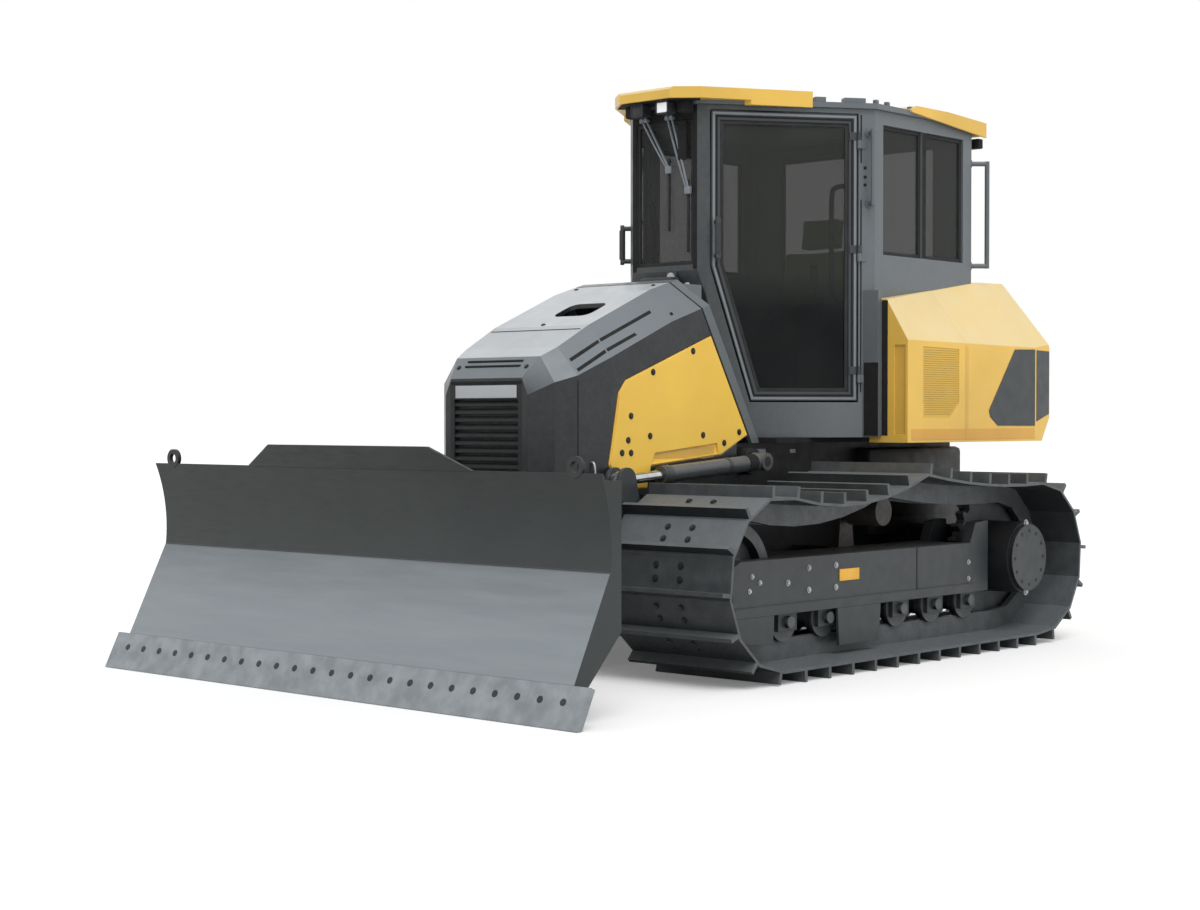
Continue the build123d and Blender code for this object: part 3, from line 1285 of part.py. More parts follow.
COVER_REAR_X = CAB_REAR_X - 56
with BuildPart() as roof_cover:
    with BuildSketch(side(0)):
        Polygon(
            (COVER_FRONT_X, visor_z),
            (COVER_FRONT_X - 50, visor_z + COVER_THICKNESS - 14),
            (COVER_FRONT_X - 380, visor_z + COVER_THICKNESS - 14),
            (COVER_REAR_X, visor_z + 6),
            (COVER_REAR_X, visor_z - 68),
            (CAB_REAR_X - ROOF_OVERHANG - FIT, visor_z - 60),
            (CAB_REAR_X - ROOF_OVERHANG - FIT, visor_z),
            align=None,
        )
    extrude(amount=CAB_HALF + ROOF_OVERHANG, both=True)
    # flanges that lap over the roof's sides, deeper to the rear
    for toward in (-1, 1):
        with BuildSketch(side(toward * (CAB_HALF + ROOF_OVERHANG + FIT))):
            Polygon(
                (COVER_FRONT_X, visor_z),
                (COVER_FRONT_X - 50, visor_z + COVER_THICKNESS - 14),
                (COVER_FRONT_X - 380, visor_z + COVER_THICKNESS - 14),
                (COVER_REAR_X, visor_z + 6),
                (COVER_REAR_X, visor_z - 78),
                (COVER_FRONT_X, visor_z - 12),
                align=None,
            )
        extrude(amount=-toward * COVER_FLANGE)
        with BuildSketch(side(toward * (CAB_HALF + ROOF_OVERHANG - 4))):
            Polygon(
                (COVER_FRONT_X - 20, visor_z + 2),
                (COVER_FRONT_X - 52, visor_z + COVER_THICKNESS - 16),
                (COVER_FRONT_X - 378, visor_z + COVER_THICKNESS - 16),
                (COVER_REAR_X + 2, visor_z + 4),
                align=None,
            )
        extrude(amount=-toward * (COVER_FLANGE - 2))
write(roof_cover.part, "roof_cover")

# ============================================================ hood
with BuildPart() as hood_outer:
    for x, half_top, half_side, z_top, z_shoulder in HOOD_SECTIONS:
        with BuildSketch(cross(x)):
            Polygon(
                (-half_side, SHELF_Z + FIT),
                (half_side, SHELF_Z + FIT),
                (half_side, z_shoulder),
                (half_top, z_top),
                (-half_top, z_top),
                (-half_side, z_shoulder),
                align=None,
            )
    loft(ruled=True)
with BuildPart() as hood_inner:
    for x, half_top, half_side, z_top, z_shoulder in HOOD_SECTIONS:
        inner_x = x - HOOD_WALL if x == HOOD_FRONT_X else x
        with BuildSketch(cross(inner_x)):
            Polygon(
                (HOOD_WALL - half_side, SHELF_Z - 10),
                (half_side - HOOD_WALL, SHELF_Z - 10),
                (half_side - HOOD_WALL, z_shoulder - HOOD_WALL / 2),
                (half_top - HOOD_WALL / 2, z_top - HOOD_WALL),
                (HOOD_WALL / 2 - half_top, z_top - HOOD_WALL),
                (HOOD_WALL - half_side, z_shoulder - HOOD_WALL / 2),
                align=None,
            )
    loft(ruled=True)
hood_half = HOOD_SECTIONS[-1][2]
HOOD_END_TOP = (85.0, 1690.0)       # the hood's end slants through these two
HOOD_END_FOOT = (-225.0, 1168.0)
PANEL_OUTLINE = (
    # x, z of the side panel's corners, clockwise from its top rear
    HOOD_END_TOP,
    (758, 1450),
    (812, 1385),
    (882, 1030),
    (805, 905),
    (590, 905),
    (560, 1016),
    (4, 1064),
    HOOD_END_FOOT,
)
SLANT_TOP_Z = HOOD_END_TOP[1] + 510
SLANT_FOOT_Z = HOOD_END_FOOT[1] - 368
SLANT_BACK_X = COWL_FOOT_X - 200
COWL_GAP = 12.0
COWL_BAND = 66.0
COWL_DECK_Z = 1960.0


def hood_end_x(z, behind=0.0):
    """X of the hood's slanted end at a height, or a distance behind it."""
    slant = (HOOD_END_TOP[0] - HOOD_END_FOOT[0]) / (HOOD_END_TOP[1] - HOOD_END_FOOT[1])
    return HOOD_END_TOP[0] + slant * (z - HOOD_END_TOP[1]) - behind


with BuildPart() as hood:
    add(hood_outer.part)
    add(hood_inner.part, mode=Mode.SUBTRACT)
    add(cab_block(FIT, CAB_BASE_Z - 200, CAB_TOP_Z), mode=Mode.SUBTRACT)
    for toward in (-1, 1):
        with BuildSketch(side(toward * hood_half)):
            Polygon(*PANEL_OUTLINE, align=None)
        extrude(amount=toward * PANEL_THICKNESS, mode=Mode.SUBTRACT)
    with BuildSketch(side(0)):
        Polygon(
            (hood_end_x(SLANT_TOP_Z), SLANT_TOP_Z),
            (SLANT_BACK_X, SLANT_TOP_Z),
            (SLANT_BACK_X, SLANT_FOOT_Z),
            (hood_end_x(SLANT_FOOT_Z), SLANT_FOOT_Z),
            align=None,
        )
    extrude(amount=hood_half + 1, both=True, mode=Mode.SUBTRACT)
    with BuildSketch(cross(HOOD_FRONT_X - HOOD_WALL - 5)):
        with Locations((0, (GRILLE_BOTTOM_Z + GRILLE_TOP_Z) / 2)):
            Rectangle(2 * GRILLE_HALF, GRILLE_TOP_Z - GRILLE_BOTTOM_Z)
    extrude(amount=HOOD_WALL + 10, mode=Mode.SUBTRACT)
    with BuildSketch(Plane.XY.offset(SHELF_Z + 500)):
        with Locations((EXHAUST_X, EXHAUST_Y)):
            RectangleRounded(170, 250, 50)
    extrude(amount=700, mode=Mode.SUBTRACT)
write(hood.part, "hood")

# hoop behind the hood and the body that narrows from it to the windshield
with BuildPart() as cowl_hoop:
    add(hood_outer.part)
    add(hood_inner.part, mode=Mode.SUBTRACT)
    with BuildSketch(side(0)):
        Polygon(
            (hood_end_x(SLANT_TOP_Z, COWL_GAP), SLANT_TOP_Z),
            (hood_end_x(SLANT_TOP_Z, COWL_GAP + COWL_BAND), SLANT_TOP_Z),
            (hood_end_x(1500, COWL_GAP + COWL_BAND), 1500),
            (hood_end_x(1500, COWL_GAP), 1500),
            align=None,
        )
    extrude(amount=hood_half + 1, both=True, mode=Mode.INTERSECT)
with BuildPart() as cowl:
    with BuildSketch(Plane.XY.offset(BODY_BOTTOM_Z + 200)):
        Polygon(
            (HOOD_FRONT_X, hood_half - HOOD_WALL - 40),
            (HOOD_END_TOP[0], hood_half - HOOD_WALL - 40),
            (CAB_FRONT_X - 60, POST_Y - 20),
            (CAB_FRONT_X - 60, 20 - POST_Y),
            (HOOD_END_TOP[0], HOOD_WALL + 40 - hood_half),
            (HOOD_FRONT_X, HOOD_WALL + 40 - hood_half),
            align=None,
        )
    extrude(amount=COWL_DECK_Z - BODY_BOTTOM_Z - 200)
    with BuildSketch(side(0)):
        Polygon(
            (hood_end_x(SLANT_TOP_Z, COWL_GAP + 12), SLANT_TOP_Z),
            (SLANT_BACK_X, SLANT_TOP_Z),
            (SLANT_BACK_X, SLANT_FOOT_Z),
            (hood_end_x(SLANT_FOOT_Z, COWL_GAP + 12), SLANT_FOOT_Z),
            align=None,
        )
    extrude(amount=hood_half + 1, both=True, mode=Mode.INTERSECT)
    for toward in (-1, 1):
        with BuildSketch(cross(HOOD_FRONT_X)):
            Polygon(
                (toward * 330, COWL_DECK_Z + 1),
                (toward * 500, COWL_DECK_Z + 1),
                (toward * 500, COWL_DECK_Z - 190),
                align=None,
            )
        extrude(amount=COWL_FOOT_X - 200 - HOOD_FRONT_X, mode=Mode.SUBTRACT)
    add(cowl_hoop.part)
    # strips that carry the hoop down to the deck
    for toward in (-1, 1):
        with BuildSketch(side(toward * hood_half)):
            Polygon(
                (hood_end_x(1520, COWL_GAP), 1520),
                (hood_end_x(1520, COWL_GAP + COWL_BAND), 1520),
                (hood_end_x(BODY_BOTTOM_Z, COWL_GAP + COWL_BAND), BODY_BOTTOM_Z),
                (hood_end_x(BODY_BOTTOM_Z, COWL_GAP), BODY_BOTTOM_Z),
                align=None,
            )
        extrude(amount=toward * HOOD_WALL)
    add(cab_block(FIT, CAB_BASE_Z - 200, CAB_TOP_Z), mode=Mode.SUBTRACT)
write(cowl.part, "cowl")

with BuildPart() as side_panel:
    with BuildSketch(side(hood_half)):
        Polygon(*PANEL_OUTLINE, align=None)
        offset(amount=-PANEL_SHADOW, kind=Kind.INTERSECTION)
    extrude(amount=PANEL_THICKNESS - FIT)
    with BuildSketch(side(hood_half + PANEL_PROUD)):
        Polygon(*PANEL_OUTLINE, align=None)
        offset(amount=-PANEL_SHADOW - PANEL_PROUD, kind=Kind.INTERSECTION)
    extrude(amount=PANEL_PROUD + 1)
    with BuildSketch(side(hood_half + PANEL_PROUD)):
        Polygon(*PANEL_RECESS, align=None)
    extrude(amount=PANEL_PROUD + 3, mode=Mode.SUBTRACT)
write_pair(side_panel.part, "side_panel")

grille_field_height = GRILLE_TOP_Z - GRILLE_BOTTOM_Z - BADGE_HEIGHT - 2 * GRILLE_RIM
grille_field_mid = GRILLE_BOTTOM_Z + GRILLE_RIM + grille_field_height / 2
bar_pitch = grille_field_height / GRILLE_BARS
with BuildPart() as grille:
    with BuildSketch(cross(HOOD_FRONT_X - HOOD_WALL)):
        with Locations((0, (GRILLE_BOTTOM_Z + GRILLE_TOP_Z) / 2)):
            Rectangle(
                2 * (GRILLE_HALF - FIT),
                GRILLE_TOP_Z - GRILLE_BOTTOM_Z - 2 * FIT,
            )
    extrude(amount=HOOD_WALL)
    # open field that the bars cross, and a bare plate above them
    with BuildSketch(cross(HOOD_FRONT_X - HOOD_WALL + 4)):
        with Locations((0, grille_field_mid)):
            Rectangle(2 * GRILLE_HALF - 2 * GRILLE_RIM, grille_field_height)
    extrude(amount=HOOD_WALL, mode=Mode.SUBTRACT)
    for number in range(GRILLE_BARS):
        bar_z = grille_field_mid + (number + 0.5 - GRILLE_BARS / 2) * bar_pitch
        with BuildSketch(side(0)):
            Polygon(
                (HOOD_FRONT_X - HOOD_WALL + 1, bar_z + bar_pitch * 0.4),
                (HOOD_FRONT_X - HOOD_WALL + 1, bar_z + bar_pitch * 0.1),
                (HOOD_FRONT_X - 3, bar_z - bar_pitch * 0.4),
                (HOOD_FRONT_X - 3, bar_z - bar_pitch * 0.1),
                align=None,
            )
        extrude(amount=GRILLE_HALF - GRILLE_RIM + 1, both=True)
write(grille.part, "grille")

with BuildPart() as exhaust_outlet:
    with BuildSketch(Plane.XY.offset(EXHAUST_FOOT_Z)):
        with Locations((EXHAUST_X, EXHAUST_Y)):
            Circle(EXHAUST_RADIUS)
    extrude(amount=EXHAUST_LENGTH)
    with BuildSketch(side(EXHAUST_Y)):
        Polygon(
            (EXHAUST_X - EXHAUST_RADIUS - 1, EXHAUST_FOOT_Z + EXHAUST_LENGTH + 1),
            (EXHAUST_X + EXHAUST_RADIUS + 1, EXHAUST_FOOT_Z + EXHAUST_LENGTH + 1),
            (EXHAUST_X + EXHAUST_RADIUS + 1, EXHAUST_FOOT_Z + EXHAUST_LENGTH - 50),
            align=None,
        )
    extrude(amount=EXHAUST_RADIUS + 1, both=True, mode=Mode.SUBTRACT)
    with BuildSketch(Plane.XY.offset(EXHAUST_FOOT_Z + EXHAUST_LENGTH)):
        with Locations((EXHAUST_X, EXHAUST_Y)):
            Circle(EXHAUST_RADIUS - 5)
    extrude(amount=-150, mode=Mode.SUBTRACT)
write(exhaust_outlet.part, "exhaust_outlet")

# ============================================================ fenders and rear hood
cab_clearance = cab_block(FIT, CAB_BASE_Z - 200, CAB_TOP_Z)
with BuildPart() as fender:
    for x, z_outer, y_ridge, z_ridge in (
        (FENDER_FRONT_X, 1679, 915, 1900),
        (FENDER_SPLIT_X + FIT, 1675, CAB_HALF, 1976),
    ):
        with BuildSketch(cross(x)):
            Polygon(
                (CAB_HALF - CAB_WALL, BODY_BOTTOM_Z),
                (FENDER_Y, BODY_BOTTOM_Z),
                (FENDER_Y, z_outer),
                (y_ridge, z_ridge),
                (CAB_HALF - CAB_WALL, z_ridge + 2),
                align=None,
            )
    loft(ruled=True)
    # upright recess in the front
    with BuildSketch(cross(FENDER_FRONT_X)):
        with Locations((FENDER_Y - RECESS_IN, BODY_BOTTOM_Z + RECESS_UP)):
            Rectangle(RECESS_SIZE[0], RECESS_SIZE[1])
    extrude(amount=-RECESS_DEPTH, mode=Mode.SUBTRACT)
    add(cab_clearance, mode=Mode.SUBTRACT)
    # vent in the outer side
    with BuildSketch(side(FENDER_Y)):
        Polygon(*VENT_OUTLINE, align=None)
    extrude(amount=12, mode=Mode.SUBTRACT)
    with BuildSketch(side(FENDER_Y - 13)):
        Polygon(*VENT_OUTLINE, align=None)
        offset(amount=-14)
    extrude(amount=-9)
write_pair(fender.part, "fender")

with BuildPart() as rear_hood:
    for x, z_outer, z_inner in (
        (FENDER_SPLIT_X, 1675, 1976),
        (CAB_REAR_X, 1671, 2045),
        (REAR_X, 1667, 2053),
    ):
        with BuildSketch(cross(x)):
            Polygon(
                (-FENDER_Y, BODY_BOTTOM_Z),
                (FENDER_Y, BODY_BOTTOM_Z),
                (FENDER_Y, z_outer),
                (CAB_HALF, z_inner),
                (-CAB_HALF, z_inner),
                (-FENDER_Y, z_outer),
                align=None,
            )
    loft(ruled=True)
    with BuildSketch(side(0)):
        Polygon(
            (REAR_X - 1, 1667),
            (REAR_X - 1, 2100),
            (REAR_TOP_X, 2100),
            (REAR_TOP_X, 2050),
            (REAR_X, 1667),
            align=None,
        )
    extrude(amount=FENDER_Y + 1, both=True, mode=Mode.SUBTRACT)
    with BuildSketch(Plane.XY.offset(DECK_Z - 10)):
        for toward in (-1, 1):
            Polygon(
                (REAR_X - 1, toward * (FENDER_Y - REAR_TAPER)),
                (REAR_X - 1, toward * (FENDER_Y + 1)),
                (REAR_TAPER_X, toward * (FENDER_Y + 1)),
                (REAR_TAPER_X, toward * FENDER_Y),
                align=None,
            )
    extrude(amount=1000, mode=Mode.SUBTRACT)
    # heel under the rear face
    with BuildSketch(side(0)):
        Polygon(
            (REAR_X - 1, BODY_BOTTOM_Z + HEEL_HEIGHT),
            (REAR_X, BODY_BOTTOM_Z + HEEL_HEIGHT),
            (REAR_X + HEEL_LENGTH, BODY_BOTTOM_Z),
            (REAR_X + HEEL_LENGTH, BODY_BOTTOM_Z - 1),
            (REAR_X - 1, BODY_BOTTOM_Z - 1),
            align=None,
        )
    extrude(amount=FENDER_Y + 1, both=True, mode=Mode.SUBTRACT)
    add(cab_clearance, mode=Mode.SUBTRACT)
    with BuildSketch(cross(REAR_X)):
        with Locations((0, REAR_GRILLE_MID_Z)):
            Rectangle(REAR_GRILLE_SIZE[0], REAR_GRILLE_SIZE[1])
    extrude(amount=REAR_GRILLE_DEPTH, mode=Mode.SUBTRACT)
write(rear_hood.part, "rear_hood")

with BuildPart() as rear_grille:
    with BuildSketch(cross(REAR_X + 2)):
        with Locations((0, REAR_GRILLE_MID_Z)):
            Rectangle(REAR_GRILLE_SIZE[0] - 2 * FIT, REAR_GRILLE_SIZE[1] - 2 * FIT)
    extrude(amount=REAR_GRILLE_DEPTH - 2 - FIT)
    with BuildSketch(cross(REAR_X + 2)):
        with Locations((0, REAR_GRILLE_MID_Z)):
            Rectangle(REAR_GRILLE_SIZE[0] - 80, REAR_GRILLE_SIZE[1] - 80)
    extrude(amount=REAR_GRILLE_DEPTH - 14, mode=Mode.SUBTRACT)
    louvre_pitch = (REAR_GRILLE_SIZE[1] - 80) / REAR_LOUVRES
    for number in range(REAR_LOUVRES):
        louvre_z = REAR_GRILLE_MID_Z + (number + 0.5 - REAR_LOUVRES / 2) * louvre_pitch
        with BuildSketch(side(0)):
            Polygon(
                (REAR_X + REAR_GRILLE_DEPTH - 11, louvre_z + louvre_pitch * 0.4),
                (REAR_X + REAR_GRILLE_DEPTH - 11, louvre_z + louvre_pitch * 0.1),
                (REAR_X + 6, louvre_z - louvre_pitch * 0.4),
                (REAR_X + 6, louvre_z - louvre_pitch * 0.1),
                align=None,
            )
        extrude(amount=REAR_GRILLE_SIZE[0] / 2 - 39, both=True)
write(rear_grille.part, "rear_grille")

# ============================================================ handrails, lights, wipers
post_rail = door_wall(-RAIL_STANDOFF).from_local_coords((POST_RAIL_S, 0, 0))
post_foot = door_wall(-FIT).from_local_coords((POST_RAIL_S, 0, 0))
corner_mid = Vector(CAB_REAR_X + CAB_CORNER / 2, CAB_HALF - CAB_CORNER / 2, 0)
corner_out = Vector(-1, 1, 0).normalized()
rail_runs = (
    # foot in plan, bar in plan, lower and upper height
    (post_foot, post_rail, CAB_TOP_Z - 510, CAB_TOP_Z - 130),
    (
        corner_mid + corner_out * FIT,
        corner_mid + corner_out * CORNER_RAIL_STANDOFF,
        SIDE_SILL_Z - 10,
        CAB_TOP_Z - 200,
    ),
)
with BuildPart() as handrails:
    with BuildPart(mode=Mode.PRIVATE) as left_rails:
        for foot, bar, low, high in rail_runs:
            for height in (low, high):
                at_foot = Vector(foot.X, foot.Y, height)
                at_bar = Vector(bar.X, bar.Y, height)
                reach = at_bar - at_foot
                with BuildSketch(Plane(at_foot, z_dir=reach.normalized())):
                    Circle(TUBE_RADIUS)
                extrude(amount=reach.length + TUBE_RADIUS * 0.6)
                with BuildSketch(Plane(at_foot, z_dir=reach.normalized())):
                    Circle(TUBE_RADIUS + 10)
                extrude(amount=8)
            with BuildSketch(Plane(Vector(bar.X, bar.Y, low - TUBE_RADIUS))):
                Circle(TUBE_RADIUS)
            extrude(amount=high - low + 2 * TUBE_RADIUS)
    add(left_rails.part)
    add(left_rails.part.mirror(Plane.XZ))
write(handrails.part, "handrails")

LAMPS = (
    # face x, y, z, inward direction, height of the mounting face
    (20, 88, VISOR_LOW_Z - LAMP_HEIGHT / 2 - 3, -1, VISOR_LOW_Z - FIT),
    (20, -88, VISOR_LOW_Z - LAMP_HEIGHT / 2 - 3, -1, VISOR_LOW_Z - FIT),
)
with BuildPart() as work_lights:
    # lamp's middle, the way it faces, and the height of its mounting face
    for x, y, z, facing, hang_z in LAMPS:
        with BuildSketch(cross(x)):
            with Locations((y, z)):
                RectangleRounded(LAMP_WIDTH, LAMP_HEIGHT, 14)
        extrude(amount=facing * LAMP_DEPTH, taper=0)
        with BuildSketch(cross(x)):
            with Locations((y, z)):
                RectangleRounded(LAMP_WIDTH - 16, LAMP_HEIGHT - 16, 8)
        extrude(amount=facing * 5, mode=Mode.SUBTRACT)
        with BuildSketch(side(y + 15)):
            low = z + LAMP_HEIGHT / 2 - 4
            with Locations((x + facing * LAMP_DEPTH / 2, (low + hang_z) / 2)):
                Rectangle(26, hang_z - low)
        extrude(amount=30)
write(work_lights.part, "work_lights")
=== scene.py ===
"""Looks of a small tracked bulldozer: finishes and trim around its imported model."""

import logging
import math
from dataclasses import dataclass
from enum import Enum
from typing import Iterable, Sequence

import bmesh
import bpy
from mathutils import Matrix, Vector

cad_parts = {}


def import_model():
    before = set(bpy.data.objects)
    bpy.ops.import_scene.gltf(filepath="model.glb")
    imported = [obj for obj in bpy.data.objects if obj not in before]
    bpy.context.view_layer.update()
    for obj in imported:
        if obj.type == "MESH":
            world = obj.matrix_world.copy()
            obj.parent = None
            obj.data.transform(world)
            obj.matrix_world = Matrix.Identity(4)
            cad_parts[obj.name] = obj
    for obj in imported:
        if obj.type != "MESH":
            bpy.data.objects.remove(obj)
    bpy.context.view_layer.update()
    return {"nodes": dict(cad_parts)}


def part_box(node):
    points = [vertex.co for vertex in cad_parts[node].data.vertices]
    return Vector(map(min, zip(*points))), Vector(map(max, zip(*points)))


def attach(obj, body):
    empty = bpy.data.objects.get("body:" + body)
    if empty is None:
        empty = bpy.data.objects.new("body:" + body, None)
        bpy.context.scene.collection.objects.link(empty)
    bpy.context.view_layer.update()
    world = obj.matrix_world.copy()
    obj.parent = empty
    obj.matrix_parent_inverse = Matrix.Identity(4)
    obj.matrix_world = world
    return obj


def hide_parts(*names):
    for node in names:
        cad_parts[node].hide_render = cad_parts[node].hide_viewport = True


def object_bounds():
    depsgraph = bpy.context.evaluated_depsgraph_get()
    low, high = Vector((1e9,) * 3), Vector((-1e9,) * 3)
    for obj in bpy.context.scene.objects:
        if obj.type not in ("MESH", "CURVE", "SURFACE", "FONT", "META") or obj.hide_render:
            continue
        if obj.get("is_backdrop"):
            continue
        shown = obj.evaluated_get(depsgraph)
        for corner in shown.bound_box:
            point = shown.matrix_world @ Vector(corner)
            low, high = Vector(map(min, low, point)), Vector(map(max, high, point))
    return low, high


LOG = logging.getLogger("bulldozer")
SIDES = (1, -1)
HANDS = ((1, "left"), (-1, "right"))
Point = Sequence[float]
Pair = tuple[float, float]
Triple = tuple[float, float, float]
Quad = tuple[float, float, float, float]
# low corner, high corner and edge radius
Box = tuple[Triple, Triple, float]
# a place on a surface, and the surface's direction there
Hit = tuple[Vector, Vector]
Socket = bpy.types.NodeSocket


# ---------------------------------------------------------------- node graphs
class Graph:
    """A material's node tree, with short calls for the nodes that the finishes share."""

    def __init__(self, name: str) -> None:
        """Starts a material with only its output.

        Args:
            name: The material's name.
        """
        self.material = bpy.data.materials.new(name)
        self.material.use_nodes = True
        self.tree = self.material.node_tree
        self.tree.nodes.clear()
        self.output = self.tree.nodes.new("ShaderNodeOutputMaterial")
        self.place = self.node("ShaderNodeTexCoord").outputs["Object"]

    def node(self, kind: str) -> bpy.types.Node:
        """Adds a node of a kind."""
        return self.tree.nodes.new(kind)

    def link(self, source: Socket, target: Socket) -> None:
        """Joins an output to an input."""
        self.tree.links.new(source, target)

    def noise(self, scale: float, detail: float = 4.0, stretch: Point = (1, 1, 1)) -> Socket:
        """Adds noise on Object coordinates.

        Args:
            scale: Cells in a metre.
            detail: Octaves.
            stretch: Factor on each axis.

        Returns:
            The noise value.
        """
        mapping = self.node("ShaderNodeMapping")
        mapping.inputs["Scale"].default_value = stretch
        self.link(self.place, mapping.inputs["Vector"])
        noise = self.node("ShaderNodeTexNoise")
        noise.inputs["Scale"].default_value = scale
        noise.inputs["Detail"].default_value = detail
        self.link(mapping.outputs["Vector"], noise.inputs["Vector"])
        return noise.outputs["Fac"]

    def spread(self, value: Socket, low: float, high: float,
               to_low: float = 0.0, to_high: float = 1.0) -> Socket:
        """Maps a range of a value on another, clamped.

        Args:
            value: The value.
            low: Start of its range.
            high: End of its range.
            to_low: Result at the start.
            to_high: Result at the end.

        Returns:
            The mapped value.
        """
        ranged = self.node("ShaderNodeMapRange")
        for name, number in (("From Min", low), ("From Max", high), ("To Min", to_low), ("To Max", to_high)):
            ranged.inputs[name].default_value = number
        self.link(value, ranged.inputs["Value"])
        return ranged.outputs["Result"]

    def cloud(self, scale: float, detail: float, low: float, high: float,
              to_low: float = 0.0, to_high: float = 1.0) -> Socket:
        """Noise of a scale and detail, with one range of it spread over another."""
        return self.spread(self.noise(scale, detail), low, high, to_low, to_high)

    def mixed(self, share: Socket, first: object, second: object) -> Socket:
        """Mixes two colours.

        Args:
            share: How much of the second.
            first: A colour, or a colour socket.
            second: A colour, or a colour socket.

        Returns:
            The mixed colour.
        """
        mix = self.node("ShaderNodeMix")
        mix.data_type = "RGBA"
        self.link(share, mix.inputs[0])
        for socket, value in ((mix.inputs[6], first), (mix.inputs[7], second)):
            if isinstance(value, Socket):
                self.link(value, socket)
            else:
                socket.default_value = (*value, 1.0)
        return mix.outputs[2]

    def times(self, first: Socket, second: Socket) -> Socket:
        """Multiplies two values."""
        product = self.node("ShaderNodeMath")
        product.operation = "MULTIPLY"
        self.link(first, product.inputs[0])
        self.link(second, product.inputs[1])
        return product.outputs[0]

    def normal_part(self, axis: str) -> Socket:
        """One axis of the surface's direction in the part's own frame."""
        geometry = self.node("ShaderNodeNewGeometry")
        split = self.node("ShaderNodeSeparateXYZ")
        turned = self.node("ShaderNodeVectorTransform")
        turned.vector_type = "NORMAL"
        turned.convert_from = "WORLD"
        turned.convert_to = "OBJECT"
        self.link(geometry.outputs["Normal"], turned.inputs["Vector"])
        self.link(turned.outputs["Vector"], split.inputs["Vector"])
        return split.outputs[axis]

    def place_part(self, axis: str) -> Socket:
        """One axis of the place in the part's own frame."""
        split = self.node("ShaderNodeSeparateXYZ")
        self.link(self.place, split.inputs["Vector"])
        return split.outputs[axis]

    def relief(self, height: Socket, depth: float, strength: float,
               edge: float = 0.0) -> Socket:
        """Turns a height into a surface direction, over softened edges.

        Args:
            height: The height value.
            depth: Distance in metres that a height of one stands for.
            strength: Share of the relief.
            edge: Radius of the softened edges in metres.

        Returns:
            The surface direction.
        """
        bump = self.node("ShaderNodeBump")
        bump.inputs["Strength"].default_value = strength
        bump.inputs["Distance"].default_value = depth
        self.link(height, bump.inputs["Height"])
        if edge:
            soft = self.node("ShaderNodeBevel")
            soft.samples = 4
            soft.inputs["Radius"].default_value = edge
            self.link(soft.outputs["Normal"], bump.inputs["Normal"])
        return bump.outputs["Normal"]

    def surface(self, **values: object) -> bpy.types.Material:
        """Adds the shader and finishes the material.

        Args:
            values: Shader inputs, with spaces as underscores: numbers, colours or sockets.

        Returns:
            The material.
        """
        shader = self.node("ShaderNodeBsdfPrincipled")
        for name, value in values.items():
            socket = shader.inputs[name.replace("_", " ")]
            if isinstance(value, Socket):
                self.link(value, socket)
            elif isinstance(value, tuple):
                socket.default_value = (*value, 1.0)
            else:
                socket.default_value = value
        self.link(shader.outputs["BSDF"], self.output.inputs["Surface"])
        return self.material


# ---------------------------------------------------------------- finishes
@dataclass(frozen=True)
class Paint:
    """Sprayed machine paint with orange peel, uneven gloss and a paler film on what faces up, which stands
    for dust and, where strong as on the yellow body, also for a painted sky reflection.
    """

    name: str
    colour: Triple
    roughness: float = 0.36
    shift: float = 0.08
    dust_and_sheen: float = 0.16
    dust_and_sheen_colour: Triple = (0.52, 0.50, 0.46)
    dust_and_sheen_from: float = 0.95
    edge: float = 0.004

    def build(self) -> bpy.types.Material:
        """Makes the material."""
        graph = Graph(self.name)
        dark = tuple(part * (1 - self.shift) for part in self.colour)
        light = tuple(min(1.0, part * (1 + self.shift)) for part in self.colour)
        tone = graph.mixed(graph.cloud(1.7, 5, 0.35, 0.65), dark, light)
        # paler film on up-facing faces: dust, and where strong a painted sky reflection on the tops
        upward = graph.spread(graph.normal_part("Z"), 0.15, self.dust_and_sheen_from)
        film = graph.times(upward, graph.cloud(9.0, 6, 0.30, 0.75, 0.75, 1.0))
        share = graph.spread(film, 0.0, 1.0, 0.0, self.dust_and_sheen)
        colour = graph.mixed(share, tone, self.dust_and_sheen_colour)
        gloss = graph.cloud(14.0, 5, 0.3, 0.7, self.roughness - 0.06, self.roughness + 0.10)
        skin = graph.relief(graph.noise(260.0, 2), 0.0004, 0.35, self.edge)
        return graph.surface(Base_Color=colour, Roughness=gloss, Normal=skin)


@dataclass(frozen=True)
class FacetPaint:
    """Dark paint with a painted sky reflection: darker on upright faces and paler the more a face looks up,
    with a fine grain.
    """

    name: str
    upright: Triple
    sloping: Triple
    level: Triple
    slope_from: Pair = (0.22, 0.40)
    level_from: Pair = (0.78, 0.90)
    roughness: float = 0.34

    def build(self) -> bpy.types.Material:
        """Makes the material."""
        graph = Graph(self.name)
        facing = graph.normal_part("Z")
        # tones by facing: the paler sloping and level tones are painted sky reflection
        tone = graph.mixed(graph.spread(facing, *self.slope_from), self.upright, self.sloping)
        tone = graph.mixed(graph.spread(facing, *self.level_from), tone, self.level)
        grime = graph.cloud(2.6, 7, 0.35, 0.75, 0.0, 0.16)
        tone = graph.mixed(grime, tone, (0.06, 0.064, 0.066))
        fine = graph.cloud(34.0, 6, 0.4, 0.7, 0.0, 0.03)
        tone = graph.mixed(fine, tone, (0.30, 0.31, 0.31))
        gloss = graph.cloud(11.0, 5, 0.3, 0.7, self.roughness - 0.05, self.roughness + 0.1)
        skin = graph.relief(graph.noise(260.0, 2), 0.0004, 0.30, 0.004)
        return graph.surface(Base_Color=tone, Roughness=gloss, Normal=skin)


